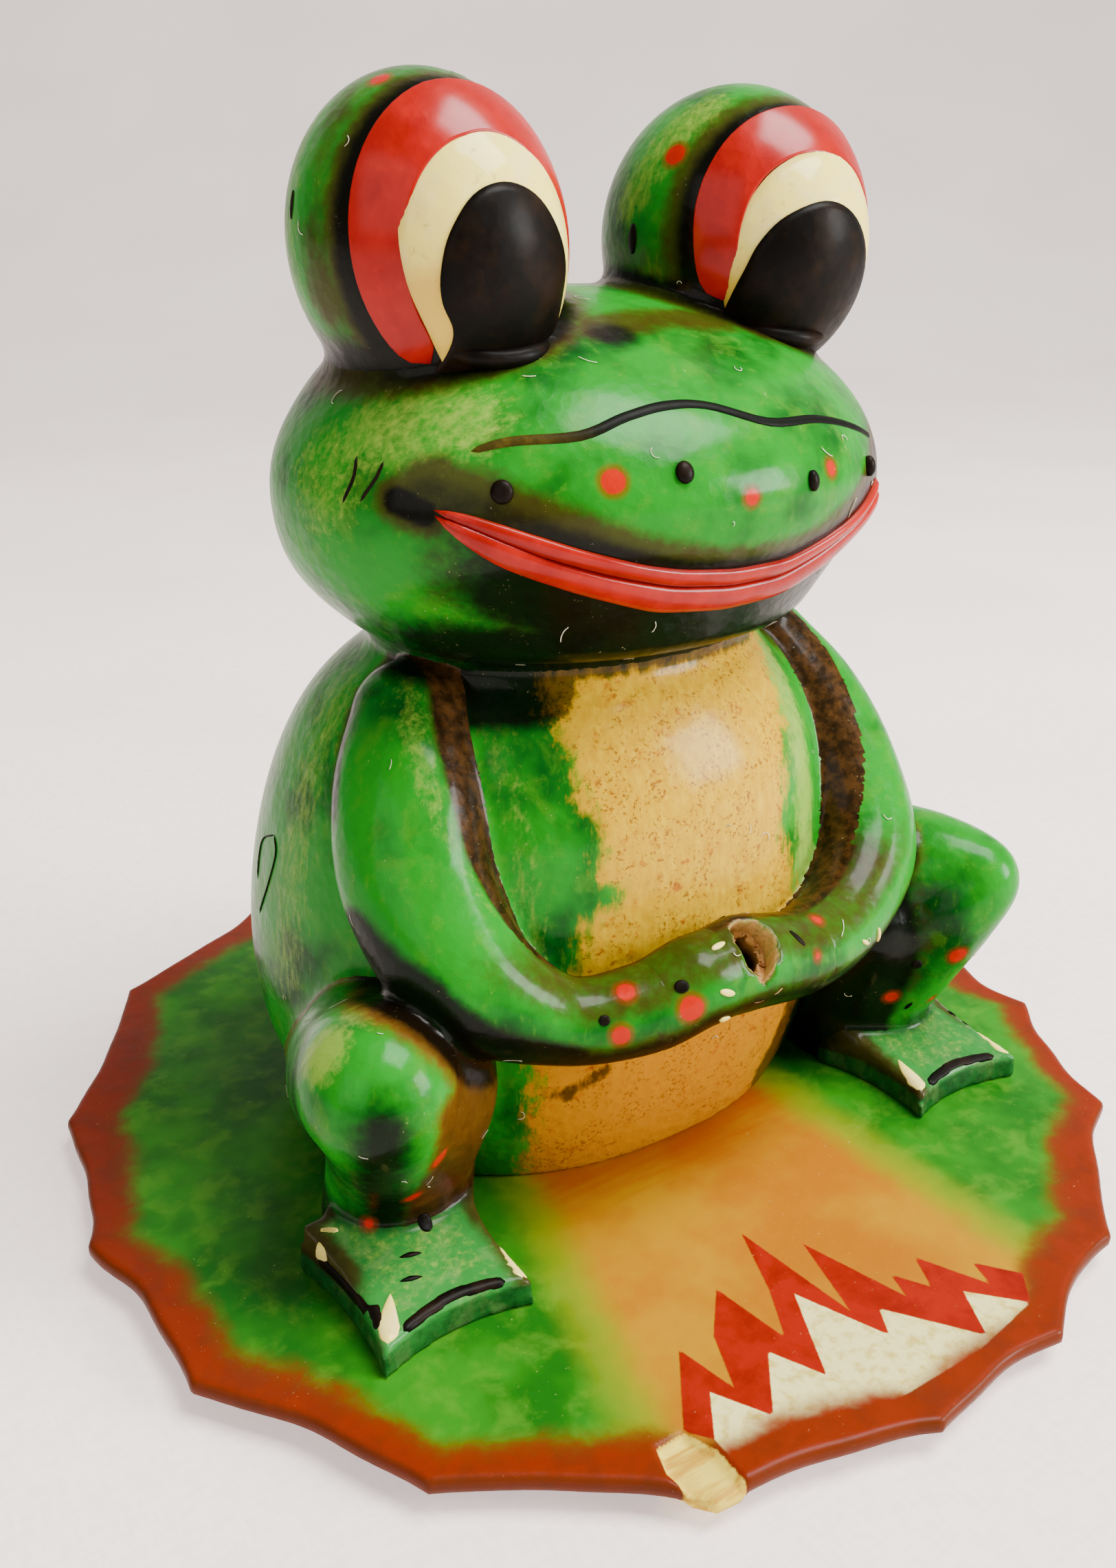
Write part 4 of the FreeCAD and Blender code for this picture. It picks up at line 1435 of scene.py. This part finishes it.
def eye_paint(name):
    p = Paint(name)
    mid = p.noise(1.3, 4.0, 0.65)
    patch = p.noise(4.0, 3.0)
    fine = p.noise(0.4, 3.0, 0.7)
    stain = p.step(p.shift(p.mask("stain"), patch, 0.9), 0.2, 1.0)
    color = p.mix(p.step(patch, 0.4, 0.7), CREAM_PAINT, rgb(222, 206, 128))
    color = p.over(color, rgb(198, 158, 44), stain, 0.8)
    dirt = p.math("MULTIPLY", p.step(mid, 0.58, 0.74), 0.45)
    color = p.mix(dirt, color, rgb(150, 128, 60))
    specks = p.step(fine, 0.72, 0.78)
    color = p.over(color, rgb(70, 60, 24), specks, 0.5)
    rough = p.scaled(mid, 0.25, 0.14)
    return p.finish(color, rough, lacquer_bump(p, 0.5), 0.3, 0.1)


def black_paint(name):
    p = Paint(name)
    mid = p.noise(1.8, 4.0, 0.65)
    patch = p.noise(4.5, 3.0)
    fine = p.noise(0.35, 3.0, 0.7)
    color = p.mix(p.step(patch, 0.4, 0.7), rgb(6, 4, 2), rgb(24, 13, 5))
    color = p.over(color, rgb(34, 22, 9), p.step(mid, 0.58, 0.72), 0.35)
    color = p.over(color, rgb(24, 56, 16), p.step(fine, 0.7, 0.76), 0.4)
    rough = p.scaled(mid, 0.4, 0.34)
    return p.finish(color, rough, lacquer_bump(p, 0.7), 0.05, 0.3)


def line_paint(name):
    p = Paint(name)
    mid = p.noise(1.2, 4.0, 0.65)
    faded = p.mix(p.step(mid, 0.4, 0.7), rgb(52, 44, 10), rgb(78, 66, 18))
    color = p.mix(p.step(p.shift(p.mask("fade"), mid, 0.5), 0.2, 0.8), faded, rgb(5, 8, 3))
    rough = p.scaled(mid, 0.3, 0.4)
    return p.finish(color, rough, lacquer_bump(p, 0.5), 0.03, 0.3)


def paper_tear(name):
    p = Paint(name)
    mid = p.noise(0.6, 4.0, 0.7)
    patch = p.noise(1.6, 3.0)
    color = p.mix(p.step(patch, 0.35, 0.65), RAW_PAPER, rgb(178, 122, 70))
    color = p.over(color, rgb(238, 220, 178), p.step(mid, 0.55, 0.7), 0.7)
    rough = p.scaled(mid, 0.2, 0.7)
    return p.finish(color, rough, p.bump(mid, 0.6, 0.3), 0.0)


def pad_paint(name):
    """Turned board under lacquer: green leaf, rusty rim, orange glow, a painted flame border and painted
    shadow round the frog.
    """
    p = Paint(name)
    coarse = p.noise(14.0, 3.0)
    patch = p.noise(5.0, 4.0, 0.6, twist=0.3)
    mid = p.noise(1.6, 4.0, 0.65)
    fine = p.noise(0.45, 3.0, 0.7)
    grain = p.noise(1.2, 4.0, 0.6, at=p.stretched((0.12, 1, 1), (0, 0, 0.5)))
    color = p.mix(p.step(coarse, 0.38, 0.64), rgb(38, 116, 18), rgb(16, 86, 14))
    color = p.over(color, rgb(84, 138, 30), p.step(patch, 0.46, 0.7), 0.4)
    glow = p.shift(p.mask("orange"), patch, 3.0)
    color = p.mix(p.step(glow, -5.0, 1.5), color, rgb(112, 124, 8))
    amber = p.mix(p.step(coarse, 0.35, 0.65), rgb(162, 116, 0), rgb(154, 92, 0))
    color = p.mix(p.step(glow, 0.0, 5.5), color, amber)
    # Round the frog's seat the pad is darker: painted shadow, a darker red-orange in the orange sector and
    # dark green outside it.
    seat = p.shift(p.mask("seat"), grain, 0.35)
    seat_shadow_orange = p.math("MULTIPLY", p.step(seat, 1.25, 0.95), p.step(glow, -1.0, 5.0))
    color = p.over(color, rgb(150, 58, 2), seat_shadow_orange, 0.7)
    shade = p.step(p.shift(p.mask("seat"), patch, 0.25), 1.12, 0.9)
    shade = p.math("MULTIPLY", shade, p.step(glow, 2.0, -3.0))
    color = p.over(color, rgb(14, 46, 10), shade, 0.6)
    rim = p.shift(p.shift(p.mask("rim"), patch, 3.5), mid, 1.0)
    color = p.mix(p.step(rim, 2.2, -1.5), color, rgb(96, 50, 8))
    color = p.mix(p.step(rim, 1.0, -3.0), color, p.mix(p.step(patch, 0.4, 0.68), rgb(112, 32, 6),
                                                      rgb(98, 32, 10)))
    cream = p.step(p.shift(p.mask("cream"), mid, 0.25), 0.12, -0.12)
    faded = p.step(p.shift(p.mask("rim"), patch, 3.0), -3.4, 0.4)
    color = p.mix(p.math("MULTIPLY", cream, faded), color,
                  p.mix(p.step(mid, 0.45, 0.7), rgb(216, 208, 140), rgb(188, 170, 88)))
    flame = p.step(p.shift(p.mask("blaze"), fine, 0.2), 0.1, -0.1)
    color = p.mix(flame, color, p.mix(p.step(patch, 0.4, 0.7), rgb(140, 22, 4), rgb(116, 16, 3)))
    edge = p.step(p.shift(p.mask("reach"), fine, 0.6), 0.75, 0.2)
    color = p.over(color, rgb(70, 36, 12), edge, 0.55)
    scuff = p.math("MULTIPLY", p.step(fine, 0.68, 0.75), p.step(coarse, 0.45, 0.6))
    color = p.over(color, rgb(226, 200, 130), scuff, 0.4)
    bare = p.step(p.shift(p.mask("chip"), fine, 0.3), 0.1, -0.12)
    board = p.mix(p.step(grain, 0.4, 0.65), rgb(214, 190, 74), rgb(180, 138, 40))
    color = p.mix(bare, color, board)
    rough = p.scaled(mid, 0.3, 0.24)
    rough = p.math("ADD", rough, p.math("MULTIPLY", bare, 0.35))
    slow = p.bump(p.noise(10.0, 2.0), 0.2, 1.0)
    first = p.bump(flame, 0.25, 0.12, slow)
    normal = p.bump(fine, 0.25, 0.1, p.bump(p.cells(1.9), 0.14, 0.25, first))
    return p.finish(color, rough, normal, 0.05, 0.2)


def lint_fibre(name):
    p = Paint(name)
    mid = p.noise(0.8, 2.0)
    color = p.mix(p.step(mid, 0.4, 0.6), rgb(226, 220, 196), rgb(190, 186, 150))
    rough = p.scaled(mid, 0.2, 0.5)
    return p.finish(color, rough, p.bump(mid, 0.3, 0.05), 0.0)


def cloth(name):
    """The pale cloth the figure stands on: a fine weave, almost lost in the light."""
    p = Paint(name)
    weave = p.math("MULTIPLY", p.noise(0.9, 1.0, at=p.stretched((1, 0.25, 1))),
                   p.noise(0.9, 1.0, at=p.stretched((0.25, 1, 1))))
    soft = p.noise(120.0, 2.0)
    color = p.mix(p.step(soft, 0.3, 0.7), rgb(238, 226, 221), rgb(230, 215, 208))
    color = p.over(color, rgb(188, 178, 170), p.step(weave, 0.2, 0.34), 0.2)
    rough = p.scaled(soft, 0.1, 0.85)
    p.shader.inputs["Emission Color"].default_value = (1.0, 0.89, 0.87, 1.0)
    p.shader.inputs["Emission Strength"].default_value = 0.7
    return p.finish(color, rough, p.bump(weave, 0.35, 0.25), 0.0)


PAINTS = {
    "body_paint": skin_paint("body_paint", "belly", stroke=(1, 1, 0.3)),
    "head_paint": skin_paint("head_paint", stroke=(0.5, 1, 1)),
    "eye_mound_paint": skin_paint("eye_mound_paint"),
    "limb_paint": skin_paint("limb_paint", "band"),
    "leg_paint": skin_paint("leg_paint", brown=rgb(92, 32, 14)),
    "foot_paint": skin_paint("foot_paint", green=rgb(38, 116, 44), deep=rgb(24, 84, 36),
                             pale=rgb(110, 136, 76)),
    "lid_red": red_paint("lid_red"),
    "lip_red": red_paint("lip_red", lip=True),
    "eye_cream": eye_paint("eye_cream"),
    "pupil_black": black_paint("pupil_black"),
    "pad_paint": pad_paint("pad_paint"),
}
SPECIAL = {"nose_line": line_paint("nose_line"), "socket_tear": paper_tear("socket_tear"),
           "lint": lint_fibre("lint")}
for name, piece in pieces.items():
    piece.data.materials.clear()
    piece.data.materials.append(SPECIAL[name] if name in SPECIAL else PAINTS[piece["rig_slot"]])


# ---------------------------------------------------------------- stage, camera and light
CAM_AT = Vector((-97.0, -140.2, 119.0)) * MM
CAM_AZIMUTH = math.radians(-33.7)
CAM_PITCH = math.radians(22.3)
AHEAD = Vector((0.555, 0.832, 0.0))      # the camera's heading along the floor
ACROSS = Vector((0.832, -0.555, 0.0))


LENS = 2000.0 / 2282.0 * 36.0    # focal length solved from the view, on a frame 36 mm high
ROOM_LIGHT = 0.28
FLOOR_NEAR, FLOOR_FAR = -1.2, 0.75   # where the flat floor starts and ends along the view
BACK_BEND, BACK_TOP, BACK_SIDE = 0.9, 2.2, 2.2   # radius of its bend, wall height, half width
# Name, way from the aim, distance, aim, size, watts and colour of each lamp; metres.
LAMPS = [("window", (0.66, -0.70, 0.30), 0.9, (0, 0, 0.07), (0.3, 0.36), 14.0, (1, 0.99, 0.97)),
         ("sky", (0.30, -0.28, 0.90), 0.8, (0, 0, 0.07), (0.42, 0.42), 17.0, (1, 0.98, 0.95)),
         ("fill", (-0.85, -0.35, 0.45), 1.2, (0, 0, 0.06), (0.9, 0.9), 5.0, (1, 0.93, 0.86))]


def sweep_backdrop():
    """A pale floor that curves up into a wall behind the figure."""
    rows = [(FLOOR_NEAR, 0.0), (FLOOR_FAR, 0.0)]
    for i in range(1, 17):
        a = math.pi / 2 * i / 16
        rows.append((FLOOR_FAR + BACK_BEND * math.sin(a), BACK_BEND * (1 - math.cos(a))))
    rows.append((FLOOR_FAR + BACK_BEND, BACK_TOP))
    points, faces = [], []
    for along, up in rows:
        for side in (-BACK_SIDE, BACK_SIDE):
            p = AHEAD * along + ACROSS * side
            points.append((p.x, p.y, up))
    for i in range(len(rows) - 1):
        faces.append((2 * i, 2 * i + 1, 2 * i + 3, 2 * i + 2))
    mesh = bpy.data.meshes.new("backdrop")
    mesh.from_pydata(points, [], faces)
    mesh.shade_smooth()
    mesh.materials.append(cloth("cloth"))
    backdrop = bpy.data.objects.new("backdrop", mesh)
    bpy.context.scene.collection.objects.link(backdrop)


def area_light(name, way, distance, aim, size, watts, color):
    data = bpy.data.lights.new(name, "AREA")
    data.shape = "RECTANGLE"
    data.size, data.size_y = size
    data.energy = watts
    data.color = color
    lamp = bpy.data.objects.new(name, data)
    aim = Vector(aim)
    lamp.location = aim + Vector(way).normalized() * distance
    lamp.rotation_euler = (aim - lamp.location).to_track_quat("-Z", "Y").to_euler()
    bpy.context.scene.collection.objects.link(lamp)


def stage():
    sweep_backdrop()
    world = bpy.data.worlds.new("room")
    world.use_nodes = True
    background = world.node_tree.nodes["Background"]
    background.inputs["Color"].default_value = (1.0, 0.955, 0.92, 1)
    background.inputs["Strength"].default_value = ROOM_LIGHT
    bpy.context.scene.world = world
    for lamp in LAMPS:
        area_light(*lamp)
    data = bpy.data.cameras.new("camera")
    data.lens = LENS
    data.clip_start = 0.01
    camera = bpy.data.objects.new("camera", data)
    camera.location = CAM_AT
    camera.rotation_euler = (math.pi / 2 - CAM_PITCH, 0, CAM_AZIMUTH)
    bpy.context.scene.collection.objects.link(camera)
    bpy.context.scene.camera = camera


stage()
